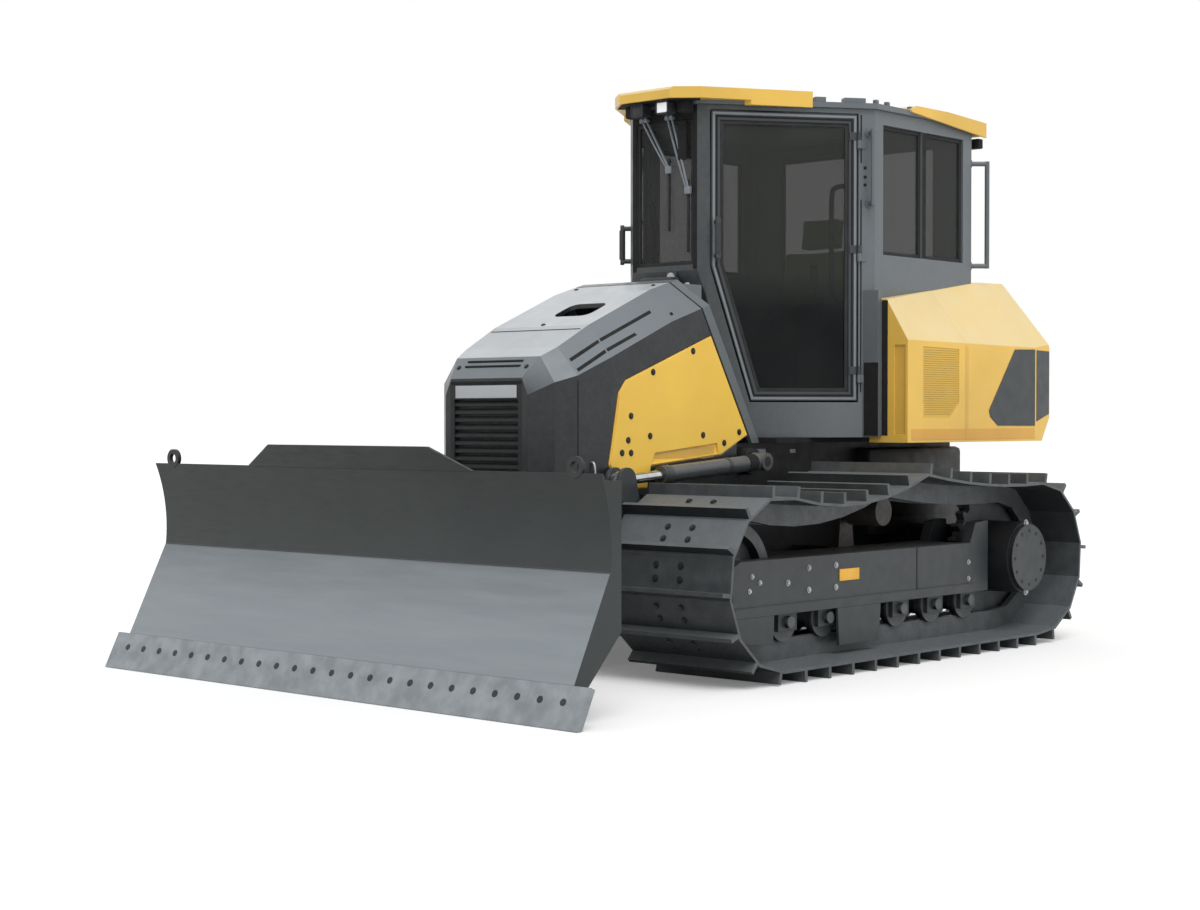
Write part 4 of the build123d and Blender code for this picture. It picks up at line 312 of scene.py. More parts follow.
@dataclass(frozen=True)
class CabPaint:
    """Grey cab paint, deeper on the front posts and paler towards the rear, with a fine grain."""

    name: str
    front: Triple
    rear: Triple
    front_x: float = -0.20
    rear_x: float = -0.72

    def build(self) -> bpy.types.Material:
        """Makes the material."""
        graph = Graph(self.name)
        forward = graph.spread(graph.place_part("X"), self.rear_x, self.front_x)
        tone = graph.mixed(forward, self.rear, self.front)
        grime = graph.cloud(2.4, 7, 0.35, 0.75, 0.0, 0.14)
        tone = graph.mixed(grime, tone, (0.13, 0.13, 0.12))
        fine = graph.cloud(30.0, 6, 0.4, 0.7, 0.0, 0.06)
        tone = graph.mixed(fine, tone, (0.26, 0.27, 0.27))
        gloss = graph.cloud(9.0, 5, 0.3, 0.7, 0.30, 0.44)
        skin = graph.relief(graph.noise(260.0, 2), 0.0004, 0.30, 0.004)
        return graph.surface(Base_Color=tone, Roughness=gloss, Normal=skin)


@dataclass(frozen=True)
class BladePaint:
    """Dark paint whose lower front is painted pale grey as a sky reflection, in streaks, with long scratches
    along the blade.
    """

    name: str = "blade_coat"
    dark: Triple = (0.014, 0.018, 0.018)
    sky_reflection: Triple = (0.235, 0.265, 0.285)
    crease_z: float = 0.622

    def build(self) -> bpy.types.Material:
        """Makes the material."""
        graph = Graph(self.name)
        height = graph.place_part("Z")
        below = graph.spread(height, self.crease_z - 0.012, self.crease_z, 1.0, 0.0)
        # pale grey on the lower front is a painted sky reflection, streaked lighter in places
        front = graph.times(below, graph.spread(graph.normal_part("X"), 0.10, 0.30))
        fade = graph.mixed(graph.spread(height, 0.35, 0.62), self.sky_reflection, (0.165, 0.185, 0.200))
        streak = graph.noise(7.0, 7, (1.0, 0.25, 3.0))
        worn = graph.mixed(graph.spread(streak, 0.40, 0.75, 0.0, 0.35), fade, (0.31, 0.335, 0.35))
        coat = graph.mixed(graph.cloud(2.2, 6, 0.35, 0.7), self.dark, (0.022, 0.027, 0.026))
        # the upper coat turns paler towards the crease
        haze = graph.spread(height, 0.62, 1.02, 0.30, 0.0)
        coat = graph.mixed(haze, coat, (0.060, 0.068, 0.069))
        colour = graph.mixed(front, coat, worn)
        rough = graph.spread(graph.noise(30.0, 6, (1.0, 0.3, 2.0)), 0.3, 0.7, 0.34, 0.50)
        scratches = graph.noise(55.0, 3, (1.0, 0.05, 1.6))
        skin = graph.relief(scratches, 0.0006, 0.25, 0.004)
        return graph.surface(Base_Color=colour, Roughness=rough, Metallic=0.15, Normal=skin)


@dataclass(frozen=True)
class Steel:
    """Bare or worn steel: a blotched tone with rust specks, a fine grain and a dull shine; with a top gain
    set, faces that look up get painted light and faces that look down painted shade.
    """

    name: str
    colour: Triple
    rust: Triple = (0.10, 0.075, 0.055)
    rust_share: float = 0.25
    roughness: float = 0.45
    metallic: float = 0.7
    painted_top_light: float = 0.0
    edge: float = 0.004

    def build(self) -> bpy.types.Material:
        """Makes the material."""
        graph = Graph(self.name)
        deep = tuple(part * 0.72 for part in self.colour)
        tone = graph.mixed(graph.cloud(11.0, 8, 0.35, 0.65), deep, self.colour)
        rust = graph.cloud(23.0, 7, 0.55, 0.80, 0.0, self.rust_share)
        tone = graph.mixed(rust, tone, self.rust)
        # painted light: faces that look up are paled towards a brighter tone, and faces that look down are
        # darkened as painted shade
        bright = tuple(min(1.0, part * 2.4) for part in self.colour)
        upward = graph.spread(graph.normal_part("Z"), 0.1, 1.0, 0.0, self.painted_top_light)
        tone = graph.mixed(upward, tone, bright)
        if self.painted_top_light:
            painted_underside_shade = graph.spread(graph.normal_part("Z"), -0.55, -0.05, 0.80, 0.0)
            tone = graph.mixed(painted_underside_shade, tone, (0.006, 0.007, 0.008))
        rough = graph.cloud(40.0, 6, 0.3, 0.7, self.roughness - 0.08, self.roughness + 0.12)
        skin = graph.relief(graph.noise(120.0, 5), 0.0008, 0.4, self.edge)
        return graph.surface(Base_Color=tone, Roughness=rough, Metallic=self.metallic, Normal=skin)


@dataclass(frozen=True)
class Moulded:
    """Moulded plastic or rubber with a fine grain."""

    name: str
    colour: Triple
    roughness: float = 0.6
    grain: float = 420.0
    depth: float = 0.0005

    def build(self) -> bpy.types.Material:
        """Makes the material."""
        graph = Graph(self.name)
        light = tuple(min(1.0, part * 1.35) for part in self.colour)
        tone = graph.mixed(graph.cloud(6.0, 5, 0.35, 0.7), self.colour, light)
        rough = graph.cloud(20.0, 3, 0.3, 0.7, self.roughness - 0.05, self.roughness + 0.1)
        skin = graph.relief(graph.noise(self.grain, 2), self.depth, 0.4, 0.002)
        return graph.surface(Base_Color=tone, Roughness=rough, Normal=skin)


@dataclass(frozen=True)
class Chrome:
    """Plated rod with a faint oil film."""

    name: str = "plated_rod"

    def build(self) -> bpy.types.Material:
        """Makes the material."""
        graph = Graph(self.name)
        tone = graph.mixed(graph.cloud(25.0, 4, 0.4, 0.7), (0.62, 0.63, 0.64), (0.50, 0.50, 0.49))
        rough = graph.cloud(60.0, 4, 0.3, 0.7, 0.10, 0.22)
        skin = graph.relief(graph.noise(300.0, 2), 0.0001, 0.1)
        return graph.surface(Base_Color=tone, Roughness=rough, Metallic=1.0, Normal=skin)


@dataclass(frozen=True)
class TintedGlass:
    """Grey safety glass: a dark tint film that hides more of what is behind it further down, where it is
    painted shade standing in for the dark cab interior; lightly dusty.
    """

    name: str = "glass_film"
    painted_shade_film: Triple = (0.004, 0.006, 0.007)
    high_film: Triple = (0.044, 0.047, 0.043)
    low_z: float = 1.84
    high_z: float = 2.04
    cover: Pair = (0.82, 0.53)

    def build(self) -> bpy.types.Material:
        """Makes the material."""
        graph = Graph(self.name)
        height = graph.place_part("Z")
        haze = graph.cloud(3.0, 6, 0.35, 0.75, 0.0, 0.25)
        # darker, more covering film low down: painted shade of the cab interior over the real tint
        film = graph.mixed(graph.spread(height, self.low_z, self.high_z), self.painted_shade_film, self.high_film)
        tone = graph.mixed(haze, film, (0.045, 0.050, 0.048))
        cover = graph.spread(height, self.low_z, self.high_z, *self.cover)
        rough = graph.cloud(8.0, 6, 0.35, 0.75, 0.04, 0.10)
        return graph.surface(Base_Color=tone, Roughness=rough, Alpha=cover, Specular_IOR_Level=0.12)


@dataclass(frozen=True)
class Lens:
    """Clear or coloured lens with fine ribs, and a glow that on the amber reflector, which is no lamp, is
    painted light.
    """

    name: str
    colour: Triple
    glow: float = 0.0

    def build(self) -> bpy.types.Material:
        """Makes the material."""
        graph = Graph(self.name)
        wave = graph.node("ShaderNodeTexWave")
        wave.inputs["Scale"].default_value = 60.0
        graph.link(graph.place, wave.inputs["Vector"])
        skin = graph.relief(wave.outputs["Fac"], 0.001, 0.4)
        light = tuple(min(1.0, part * 1.15) for part in self.colour)
        tone = graph.mixed(wave.outputs["Fac"], self.colour, light)
        return graph.surface(Base_Color=tone, Roughness=0.12, Normal=skin, Emission_Color=self.colour,
                             Emission_Strength=self.glow)


@dataclass(frozen=True)
class SeatCloth:
    """Woven seat cover: crossed threads, a soft sheen and darker worn places."""

    name: str = "seat_cloth"
    colour: Triple = (0.440, 0.520, 0.180)

    def build(self) -> bpy.types.Material:
        """Makes the material."""
        graph = Graph(self.name)
        heights = []
        for turn in ((0, math.radians(45), 0), (0, 0, math.radians(45))):
            mapping = graph.node("ShaderNodeMapping")
            mapping.inputs["Rotation"].default_value = turn
            graph.link(graph.place, mapping.inputs["Vector"])
            wave = graph.node("ShaderNodeTexWave")
            wave.inputs["Scale"].default_value = 190.0
            wave.inputs["Distortion"].default_value = 0.6
            graph.link(mapping.outputs["Vector"], wave.inputs["Vector"])
            heights.append(wave.outputs["Fac"])
        threads = graph.times(heights[0], heights[1])
        deep = tuple(part * 0.6 for part in self.colour)
        tone = graph.mixed(threads, deep, self.colour)
        tone = graph.mixed(graph.cloud(5.0, 5, 0.4, 0.75, 0.0, 0.4), tone, deep)
        skin = graph.relief(threads, 0.001, 0.6)
        return graph.surface(Base_Color=tone, Roughness=0.9, Sheen_Weight=0.3, Normal=skin)


# pale sandy film on faces that look up: part dust, part painted sky reflection on the tops
SAND_DUST_AND_SKY_SHEEN = {"dust_and_sheen_colour": (0.80, 0.66, 0.36), "dust_and_sheen_from": 0.45}


class Finish(Enum):
    """The finishes that pieces and nodes are given."""

    YELLOW = Paint("body_yellow", (0.800, 0.500, 0.088), dust_and_sheen=0.85, **SAND_DUST_AND_SKY_SHEEN)
    PANEL_YELLOW = Paint("panel_yellow", (0.970, 0.600, 0.078), dust_and_sheen=0.50, **SAND_DUST_AND_SKY_SHEEN)
    ORANGE = Paint("skirt_orange", (0.700, 0.370, 0.050))
    # deeper yellow for seams and bands, and as painted shade in the front recesses
    DEEP_YELLOW = Paint("seam_and_recess_shade_yellow", (0.700, 0.430, 0.075))
    SHADE_YELLOW = Paint("vent_yellow", (0.680, 0.430, 0.070), roughness=0.5)
    HOLE_YELLOW = Moulded("vent_hole", (0.330, 0.200, 0.040), 0.8)
    CAB_FRAME = CabPaint("cab_frame_grey", (0.040, 0.047, 0.051), (0.126, 0.144, 0.157))
    DOOR_GREY = Paint("door_grey", (0.036, 0.041, 0.045), roughness=0.32, dust_and_sheen=0.08)
    ROLLER = Steel("roller_steel", (0.055, 0.048, 0.042), rust_share=0.30, metallic=0.3)
    # on the doors this pale grey is a painted highlight line
    CAB_LIGHT = Paint("cab_pale_grey", (0.200, 0.225, 0.245), roughness=0.30, dust_and_sheen=0.10, edge=0.002)
    CAB_GREY = Paint("cab_grey", (0.120, 0.138, 0.150), roughness=0.34, dust_and_sheen=0.10)
    # the hood's pale top and mid-grey chamfer are painted sky reflection
    HOOD_GREY = FacetPaint("hood_grey", (0.010, 0.013, 0.015), (0.165, 0.188, 0.205), (0.52, 0.55, 0.57))
    DARK = Paint("dark_grey", (0.032, 0.038, 0.041), roughness=0.42, dust_and_sheen=0.12)
    UNDER_BLACK = Paint("under_black", (0.007, 0.008, 0.009), roughness=0.5, dust_and_sheen=0.04)
    GRILLE = Moulded("grille_black", (0.006, 0.007, 0.008), 0.55)
    FRAME_GREY = Paint("frame_grey", (0.036, 0.042, 0.046), roughness=0.42, dust_and_sheen=0.20)
    BARREL_GREY = Paint("barrel_grey", (0.060, 0.067, 0.070), roughness=0.30, dust_and_sheen=0.25)
    BLADE = BladePaint()
    EDGE = Steel("cutting_steel", (0.300, 0.330, 0.350), rust_share=0.06, roughness=0.38, metallic=0.35)
    # the tracks' lighter tops and near-black undersides are painted light and shade
    TRACK = Steel("shoe_steel", (0.110, 0.121, 0.127), rust_share=0.20, metallic=0.35, painted_top_light=0.55)
    BOLT = Steel("bolt_steel", (0.50, 0.52, 0.53), rust_share=0.05, roughness=0.35, metallic=0.8, edge=0.001)
    DARK_BOLT = Steel("dark_bolt", (0.030, 0.033, 0.035), rust_share=0.1, metallic=0.3, edge=0.001)
    CHROME = Chrome()
    GLASS = TintedGlass()
    RUBBER = Moulded("seal_rubber", (0.012, 0.013, 0.014), 0.72)
    PLASTIC = Moulded("black_plastic", (0.020, 0.023, 0.025), 0.48)
    TRIM = Moulded("inner_trim", (0.040, 0.043, 0.045), 0.6)
    VOID = Moulded("shadow_black", (0.004, 0.004, 0.004), 0.85)
    CLOTH = SeatCloth()
    PALE = Paint("bare_label", (0.50, 0.53, 0.55), roughness=0.4)
    LAMP_GLASS = Lens("lamp_glass", (0.86, 0.89, 0.92), 0.25)
    # the reflector glows though it is no lamp: painted light
    AMBER = Lens("amber_reflector", (0.80, 0.42, 0.03), 0.10)

    @property
    def material(self) -> bpy.types.Material:
        """The finish's material, made at its first use."""
        found = bpy.data.materials.get(self.value.name)
        return found or self.value.build()


class Slot(Enum):
    """Material slots of the record."""

    BODY = "body_paint"
    CAB = "cab_paint"
    DARK = "dark_paint"
    BLADE = "blade_paint"
    STEEL = "worn_steel"
    TRACK = "track_steel"
    CHROME = "rod_chrome"
    PLASTIC = "dark_plastic"
    SEAT = "seat_cover"
    GLASS = "tinted_glass"
    LAMP = "lamp"


NODE_FINISHES: dict[Finish, tuple[str, ...]] = {
    Finish.YELLOW: ("roof_visor", "roof_cover", "fender_left", "fender_right", "rear_hood"),
    Finish.PANEL_YELLOW: ("side_panel_left", "side_panel_right"),
    Finish.CAB_FRAME: ("cab_frame",),
    Finish.CAB_GREY: ("cowl", "roof", "handrails"),
    Finish.DOOR_GREY: ("door_left", "door_right"),
    Finish.HOOD_GREY: ("hood",),
    Finish.UNDER_BLACK: ("main_frame", "engine_block", "drawbar", "final_drives"),
    Finish.GRILLE: ("grille", "rear_grille"),
    Finish.DARK: ("exhaust_outlet", "yoke", "push_frame"),
    Finish.FRAME_GREY: ("track_frame_left", "track_frame_right"),
    Finish.BARREL_GREY: ("lift_barrel_left", "lift_barrel_right", "angle_barrel_left", "angle_barrel_right",
                         "tilt_barrel"),
    Finish.BLADE: ("moldboard",),
    Finish.EDGE: ("cutting_edge", "end_bits"),
    Finish.TRACK: ("track_left", "track_right", "idlers", "sprockets", "track_rollers"),
    Finish.ROLLER: ("carrier_rollers",),
    Finish.CHROME: ("lift_rod_left", "lift_rod_right", "angle_rod_left", "angle_rod_right", "tilt_rod"),
    Finish.GLASS: ("windshield", "rear_glass", "side_glass_left", "side_glass_right", "door_glass_left",
                   "door_glass_right"),
    Finish.PLASTIC: ("work_lights",),
    Finish.TRIM: ("cab_floor",),
    Finish.CLOTH: ("seat",),
}


# ---------------------------------------------------------------- mesh work
def rectangle(first: float, last: float, low: float, high: float) -> tuple[Pair, ...]:
    """Corners of a rectangle between two distances and two heights."""
    return (first, low), (first, high), (last, high), (last, low)


def placed(name: str, data: bpy.types.ID) -> bpy.types.Object:
    """Makes an object in the scene.

    Args:
        name: Its name.
        data: Its mesh, camera or light.

    Returns:
        The object.
    """
    made = bpy.data.objects.new(name, data)
    bpy.context.scene.collection.objects.link(made)
    return made


class Workpiece:
    """One mesh piece while it is shaped."""

    def __init__(self, name: str) -> None:
        """Starts an empty piece."""
        self.name = name
        self.mesh = bmesh.new()

    def block(self, low: Point, high: Point, bevel: float = 0.0) -> "Workpiece":
        """Adds a box, with rounded edges if asked.

        Args:
            low: Lowest corner.
            high: Highest corner.
            bevel: Radius of its edges.

        Returns:
            The piece.
        """
        made = bmesh.ops.create_cube(self.mesh, size=1.0)["verts"]
        size = [abs(b - a) for a, b in zip(low, high)]
        middle = Vector([(a + b) / 2 for a, b in zip(low, high)])
        place = Matrix.Translation(middle) @ Matrix.Diagonal((*size, 1.0))
        bmesh.ops.transform(self.mesh, matrix=place, verts=made)
        if bevel:
            edges = {edge for vert in made for edge in vert.link_edges}
            bmesh.ops.bevel(self.mesh, geom=list(edges), offset=min(bevel, min(size) * 0.49), segments=2,
                            profile=0.5, affect="EDGES", material=-1)
        return self

    def block_at(self, at: Point, box: Box) -> "Workpiece":
        """Adds a box whose corners count from a place."""
        low, high, bevel = box
        return self.block(Vector(at) + Vector(low), Vector(at) + Vector(high), bevel)

    def twin_blocks(self, *boxes: Box) -> "Workpiece":
        """Adds boxes given for the left side, and their mirror images on the right.

        Args:
            boxes: The boxes on the left side.

        Returns:
            The piece.
        """
        for side in SIDES:
            for low, high, bevel in boxes:
                near, far = sorted((side * low[1], side * high[1]))
                self.block((low[0], near, low[2]), (high[0], far, high[2]), bevel)
        return self

    def round_bar(self, start: Point, end: Point, radius: float, sides: int = 20,
                  end_radius: float | None = None) -> "Workpiece":
        """Adds a closed cylinder or cone between two points.

        Args:
            start: Middle of its first end.
            end: Middle of its other end.
            radius: Radius at the first end.
            sides: Number of sides.
            end_radius: Radius at the other end, if it tapers.

        Returns:
            The piece.
        """
        a, b = Vector(start), Vector(end)
        along = b - a
        turn = Vector((0, 0, 1)).rotation_difference(along.normalized()).to_matrix().to_4x4()
        bmesh.ops.create_cone(self.mesh, cap_ends=True, segments=sides, radius1=radius,
                              radius2=radius if end_radius is None else end_radius, depth=along.length,
                              matrix=Matrix.Translation((a + b) / 2) @ turn)
        return self

    def bolt(self, at: Point, facing: Point, size: float = 0.012, height: float = 0.008) -> "Workpiece":
        """Adds a hexagon head on its washer.

        Args:
            at: Place on the surface.
            facing: Direction that the head stands in.
            size: Radius across the head's corners.
            height: Height of the head.

        Returns:
            The piece.
        """
        foot, up = Vector(at), Vector(facing).normalized()
        self.round_bar(foot - up * 0.002, foot + up * height * 0.25, size * 1.35, 16)
        self.round_bar(foot, foot + up * height, size, 6, size * 0.9)
        return self

    def _face(self, outline: Sequence[Point]) -> bmesh.types.BMFace:
        """Makes a face from its corners."""
        return self.mesh.faces.new([self.mesh.verts.new(Vector(point)) for point in outline])

    def _pushed(self, faces: list[bmesh.types.BMFace], depth: Point) -> "Workpiece":
        """Extrudes faces along a vector and keeps the first ones."""
        made = bmesh.ops.extrude_face_region(self.mesh, geom=faces, use_keep_orig=True)["geom"]
        verts = [part for part in made if isinstance(part, bmesh.types.BMVert)]
        bmesh.ops.translate(self.mesh, vec=Vector(depth), verts=verts)
        return self

    def plate(self, outline: Sequence[Point], depth: Point) -> "Workpiece":
        """Adds a flat plate from its outline, pushed along a vector."""
        return self._pushed([self._face(outline)], depth)

    def ring(self, outline: Sequence[Point], width: float, depth: Point) -> "Workpiece":
        """Adds a flat band inside an outline, pushed along a vector.

        Args:
            outline: Outer corners in order, on one plane.
            width: Width of the band.
            depth: How the band is extruded.

        Returns:
            The piece.
        """
        face = self._face(outline)
        face.normal_update()
        band = bmesh.ops.inset_region(self.mesh, faces=[face], thickness=width, use_boundary=True,
                                      use_even_offset=True)["faces"]
        bmesh.ops.delete(self.mesh, geom=[face], context="FACES")
        return self._pushed(band, depth)

    def bar_along(self, points: Sequence[Point], radius: float, sides: int = 12) -> "Workpiece":
        """Adds a bent round bar through points, with rounded corners.

        Args:
            points: Corners of its middle line.
            radius: Radius of the bar.
            sides: Sides of its section.

        Returns:
            The piece.
        """
        curve = bpy.data.curves.new(self.name, "CURVE")
        curve.dimensions = "3D"
        curve.bevel_depth = radius
        curve.bevel_resolution = max(0, sides // 4 - 1)
        curve.use_fill_caps = True
        spline = curve.splines.new("NURBS")
        spline.points.add(len(points) - 1)
        for target, point in zip(spline.points, points):
            target.co = (*point, 1.0)
        spline.order_u = 3
        spline.use_endpoint_u = True
        spline.resolution_u = 6
        holder = bpy.data.objects.new(self.name, curve)
        shaped = bpy.data.meshes.new_from_object(holder)
        self.mesh.from_mesh(shaped)
        bpy.data.objects.remove(holder)
        bpy.data.meshes.remove(shaped)
        bpy.data.curves.remove(curve)
        return self

    def done(self, finish: Finish, slot: Slot, body: str = "chassis",
             smooth: float = 35.0) -> bpy.types.Object:
        """Closes the piece, gives it its finish and lets it ride.

        Args:
            finish: Its finish.
            slot: The record's slot that it follows; not used.
            body: The body it moves with.
            smooth: Edges flatter than this many degrees are shaded smooth.

        Returns:
            The object.
        """
        bmesh.ops.recalc_face_normals(self.mesh, faces=list(self.mesh.faces))
        data = bpy.data.meshes.new(self.name)
        for edge in self.mesh.edges:
            if len(edge.link_faces) == 2 and edge.calc_face_angle(0) > math.radians(smooth):
                edge.smooth = False
        for face in self.mesh.faces:
            face.smooth = True
        self.mesh.to_mesh(data)
        self.mesh.free()
        piece = placed(self.name, data)
        data.materials.append(finish.material)
        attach(piece, body)
        LOG.info("%s rides on %s with %s", self.name, body, finish.name)
        return piece


class Surface:
    """A CAD node's surface, to seat trim on."""

    def __init__(self, node: bpy.types.Object) -> None:
        """Keeps the node."""
        self.node = node

    def hit(self, start: Point, toward: Point) -> Hit:
        """Finds where a straight line meets the surface.

        Args:
            start: Where the line starts.
            toward: Its direction.

        Returns:
            The place and the surface's direction there.

        Raises:
            ValueError: If the line misses the surface.
        """
        found, place, normal, _ = self.node.ray_cast(Vector(start), Vector(toward))
        if not found:
            raise ValueError(f"no surface of {self.node.name} from {tuple(start)}")
        return place, normal

    def on_side(self, x: float, z: float, side: int = 1) -> Hit:
        """The outermost place at an x and z on one side."""
        return self.hit((x, side * 3.0, z), (0, -side, 0))

    def on_top(self, x: float, y: float) -> Hit:
        """The highest place at an x and y."""
        return self.hit((x, y, 4.0), (0, 0, -1))

    def in_front(self, y: float, z: float) -> Hit:
        """The foremost place at a y and z."""
        return self.hit((4.0, y, z), (-1, 0, 0))

    def seat(self, piece: Workpiece, box: Box, side: int) -> None:
        """Adds a box that sits on one side of the surface.

        Args:
            piece: The piece that takes it.
            box: Low and high corner, with y counted from the surface, and edge radius.
            side: 1 for left and -1 for right.
        """
        low, high, _ = box
        y = self.on_side((low[0] + high[0]) / 2, (low[2] + high[2]) / 2, side)[0].y
        piece.block_at((0, y, 0), box)

    def flat_faces(self, least_area: float) -> list[tuple[Vector, Vector, list[Vector]]]:
        """Lists the large flat faces.

        Args:
            least_area: Smallest area in square metres.

        Returns:
            Middle, direction and corners of each.
        """
        mesh = bmesh.new()
        mesh.from_mesh(self.node.data)
        bmesh.ops.remove_doubles(mesh, verts=mesh.verts, dist=1e-5)
        bmesh.ops.dissolve_limit(mesh, angle_limit=math.radians(0.5), verts=mesh.verts, edges=mesh.edges)
        found = [
            (face.calc_center_median().copy(), face.normal.copy(), [vert.co.copy() for vert in face.verts])
            for face in mesh.faces
            if face.calc_area() >= least_area
        ]
        mesh.free()
        return found


@dataclass
class SubAssembly:
    """A group of pieces that belong together."""

    nodes: dict[str, bpy.types.Object]

    def surface(self, node: str) -> Surface:
        """The surface of a node."""
        return Surface(self.nodes[node])

    def build(self) -> None:
        """Makes the pieces of the group."""
        raise NotImplementedError


# ---------------------------------------------------------------- undercarriage
@dataclass
class Undercarriage(SubAssembly):
    """Bolts, plates and hub trim of both tracks, the lift cylinders' bands and the rear case."""

    loop_middle: Pair = (-0.57, 0.48)
    shoe_area: float = 0.10
    shoe_bolt: Pair = (0.013, 0.009)
    bolt_spread: Pair = (0.075, 0.032)
    frame_bolts: tuple[Triple, ...] = (
        # x, z, radius
        (0.538, 0.467, 0.010), (0.620, 0.430, 0.010), (0.600, 0.500, 0.010), (0.314, 0.454, 0.012),
        (0.142, 0.518, 0.012), (0.142, 0.409, 0.012), (-0.087, 0.520, 0.012), (-0.087, 0.409, 0.012),
        (-1.330, 0.470, 0.011), (-1.330, 0.380, 0.011),
    )
    frame_bolt_height: float = 0.008
    # boxes on a side face: y counts from it
    reflector: Box = ((-0.285, -0.004, 0.438), (-0.115, 0.006, 0.498), 0.003)
    seam_cover: Box = ((-0.843, -0.004, 0.355), (-0.819, 0.004, 0.572), 0.002)
    plates: tuple[Box, ...] = (
        ((-0.457, -0.003, 1.055), (-0.377, 0.003, 1.095), 0.002),
        ((-0.725, -0.003, 1.069), (-0.675, 0.003, 1.091), 0.002),
    )
    hub: Pair = (-1.767, 0.479)
    hub_ring: float = 0.150
    hub_bolts: int = 12
    hub_bolt: Pair = (0.010, 0.007)
    hub_disc: float = 0.185
    plug_shift: float = 0.19
    plug: Pair = (0.017, 0.010)
    bands: tuple[tuple[str, int, float, float, float, Finish], ...] = (
        # name, end of the barrel that its two distances count from, and how far it stands out
        ("end", 0, 0.115, 0.185, 0.004, Finish.VOID),
        ("gland", 1, -0.060, -0.012, 0.003, Finish.DARK),
        ("strap", 0, 0.330, 0.352, 0.003, Finish.DARK),
    )
    case: Box = ((-2.270, -0.520, 0.670), (-1.300, 0.520, 1.090), 0.030)
    case_foot: Box = ((-2.270, 0.100, 0.600), (-1.300, 0.520, 0.700), 0.020)

    def shoe_hardware(self, word: str) -> None:
        """Puts four bolt heads on each shoe of the left or right track."""
        node = f"track_{word}"
        piece = Workpiece(f"shoe_bolts_{word}")
        low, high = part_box(node)
        middle_y = (low.y + high.y) / 2
        for centre, normal, corners in self.surface(node).flat_faces(self.shoe_area):
            away = Vector((centre.x - self.loop_middle[0], 0, centre.z - self.loop_middle[1]))
            if normal.dot(away) <= 0 or abs(normal.y) > 0.1:
                continue
            along = Vector((0, 1, 0)).cross(normal).normalized()
            reach = [corner.dot(along) for corner in corners]
            middle = centre + along * ((min(reach) + max(reach)) / 2 - centre.dot(along))
            for across in (-1, 1):
                for forward in (-1, 1):
                    at = middle + along * forward * self.bolt_spread[1]
                    at.y = middle_y + across * self.bolt_spread[0]
                    piece.bolt(at, normal, *self.shoe_bolt)
        piece.done(Finish.DARK_BOLT, Slot.TRACK)

    def frame_trim(self) -> None:
        """Adds the bolts, seam cover and reflector on the frames' outer faces."""
        bolts, seam, lens = Workpiece("frame_bolts"), Workpiece("frame_seam"), Workpiece("side_reflector")
        for side, word in HANDS:
            face = self.surface(f"track_frame_{word}")
            for x, z, radius in self.frame_bolts:
                bolts.bolt(*face.on_side(x, z, side), radius, self.frame_bolt_height)
            face.seat(seam, self.seam_cover, side)
            face.seat(lens, self.reflector, side)
        bolts.done(Finish.BOLT, Slot.STEEL)
        seam.done(Finish.DARK, Slot.DARK)
        # the reflector's glow is painted light
        lens.done(Finish.AMBER, Slot.LAMP)

    def hubs(self) -> None:
        """Adds a bolt ring, a raised disc and two plugs on each final drive's cover."""
        ring, discs, plugs = Workpiece("hub_bolts"), Workpiece("hub_discs"), Workpiece("hub_plugs")
        face = self.surface("final_drives")
        x, z = self.hub
        for side in SIDES:
            out = Vector((0, side, 0))
            for number in range(self.hub_bolts):
                turn = math.tau * number / self.hub_bolts
                spot = (x + self.hub_ring * math.cos(turn), z + self.hub_ring * math.sin(turn))
                ring.bolt(face.on_side(*spot, side)[0], out, *self.hub_bolt)
            at, _ = face.on_side(x, z, side)
            discs.round_bar(at - out * 0.002, at + out * 0.004, self.hub_disc, 40)
            for shift in (self.plug_shift, -self.plug_shift):
                plugs.bolt(face.on_side(x, z + shift, side)[0], out, *self.plug)
        ring.done(Finish.DARK_BOLT, Slot.DARK)
        discs.done(Finish.FRAME_GREY, Slot.DARK)
        plugs.done(Finish.BOLT, Slot.STEEL)

    def side_plates(self) -> None:
        """Adds two bare pale plates on the side of the chassis over each track."""
        piece = Workpiece("chassis_plates")
        for side in SIDES:
            for box in self.plates:
                self.surface("main_frame").seat(piece, box, side)
        piece.done(Finish.PALE, Slot.STEEL)

    def cylinder_bands(self) -> None:
        """Bands the lift cylinders: a black rear end, a strap and a dark gland at the front."""
        for _, word in HANDS:
            node = f"lift_barrel_{word}"
            face, box = self.surface(node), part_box(node)
            y = (box[0].y + box[1].y) / 2
            for name, end, first, last, grow, finish in self.bands:
                middles = []
                for x in (box[end].x + first, box[end].x + last):
                    top, _ = face.hit((x, y, 3.0), (0, 0, -1))
                    foot, _ = face.hit((x, y, 0.2), (0, 0, 1))
                    middles.append((top + foot) / 2)
                piece = Workpiece(f"lift_{name}_{word}")
                piece.round_bar(*middles, (top - foot).length / 2 + grow, 32)
                piece.done(finish, Slot.DARK, node)

    def rear_case(self) -> None:
        """Closes the view under the rear body with a plain housing, lower beside its middle."""
        piece = Workpiece("rear_case").block(*self.case).twin_blocks(self.case_foot)
        piece.done(Finish.UNDER_BLACK, Slot.DARK)

    def build(self) -> None:
        """Makes the pieces of the undercarriage."""
        for _, word in HANDS:
            self.shoe_hardware(word)
        self.frame_trim()
        self.hubs()
        self.side_plates()
        self.cylinder_bands()
        self.rear_case()


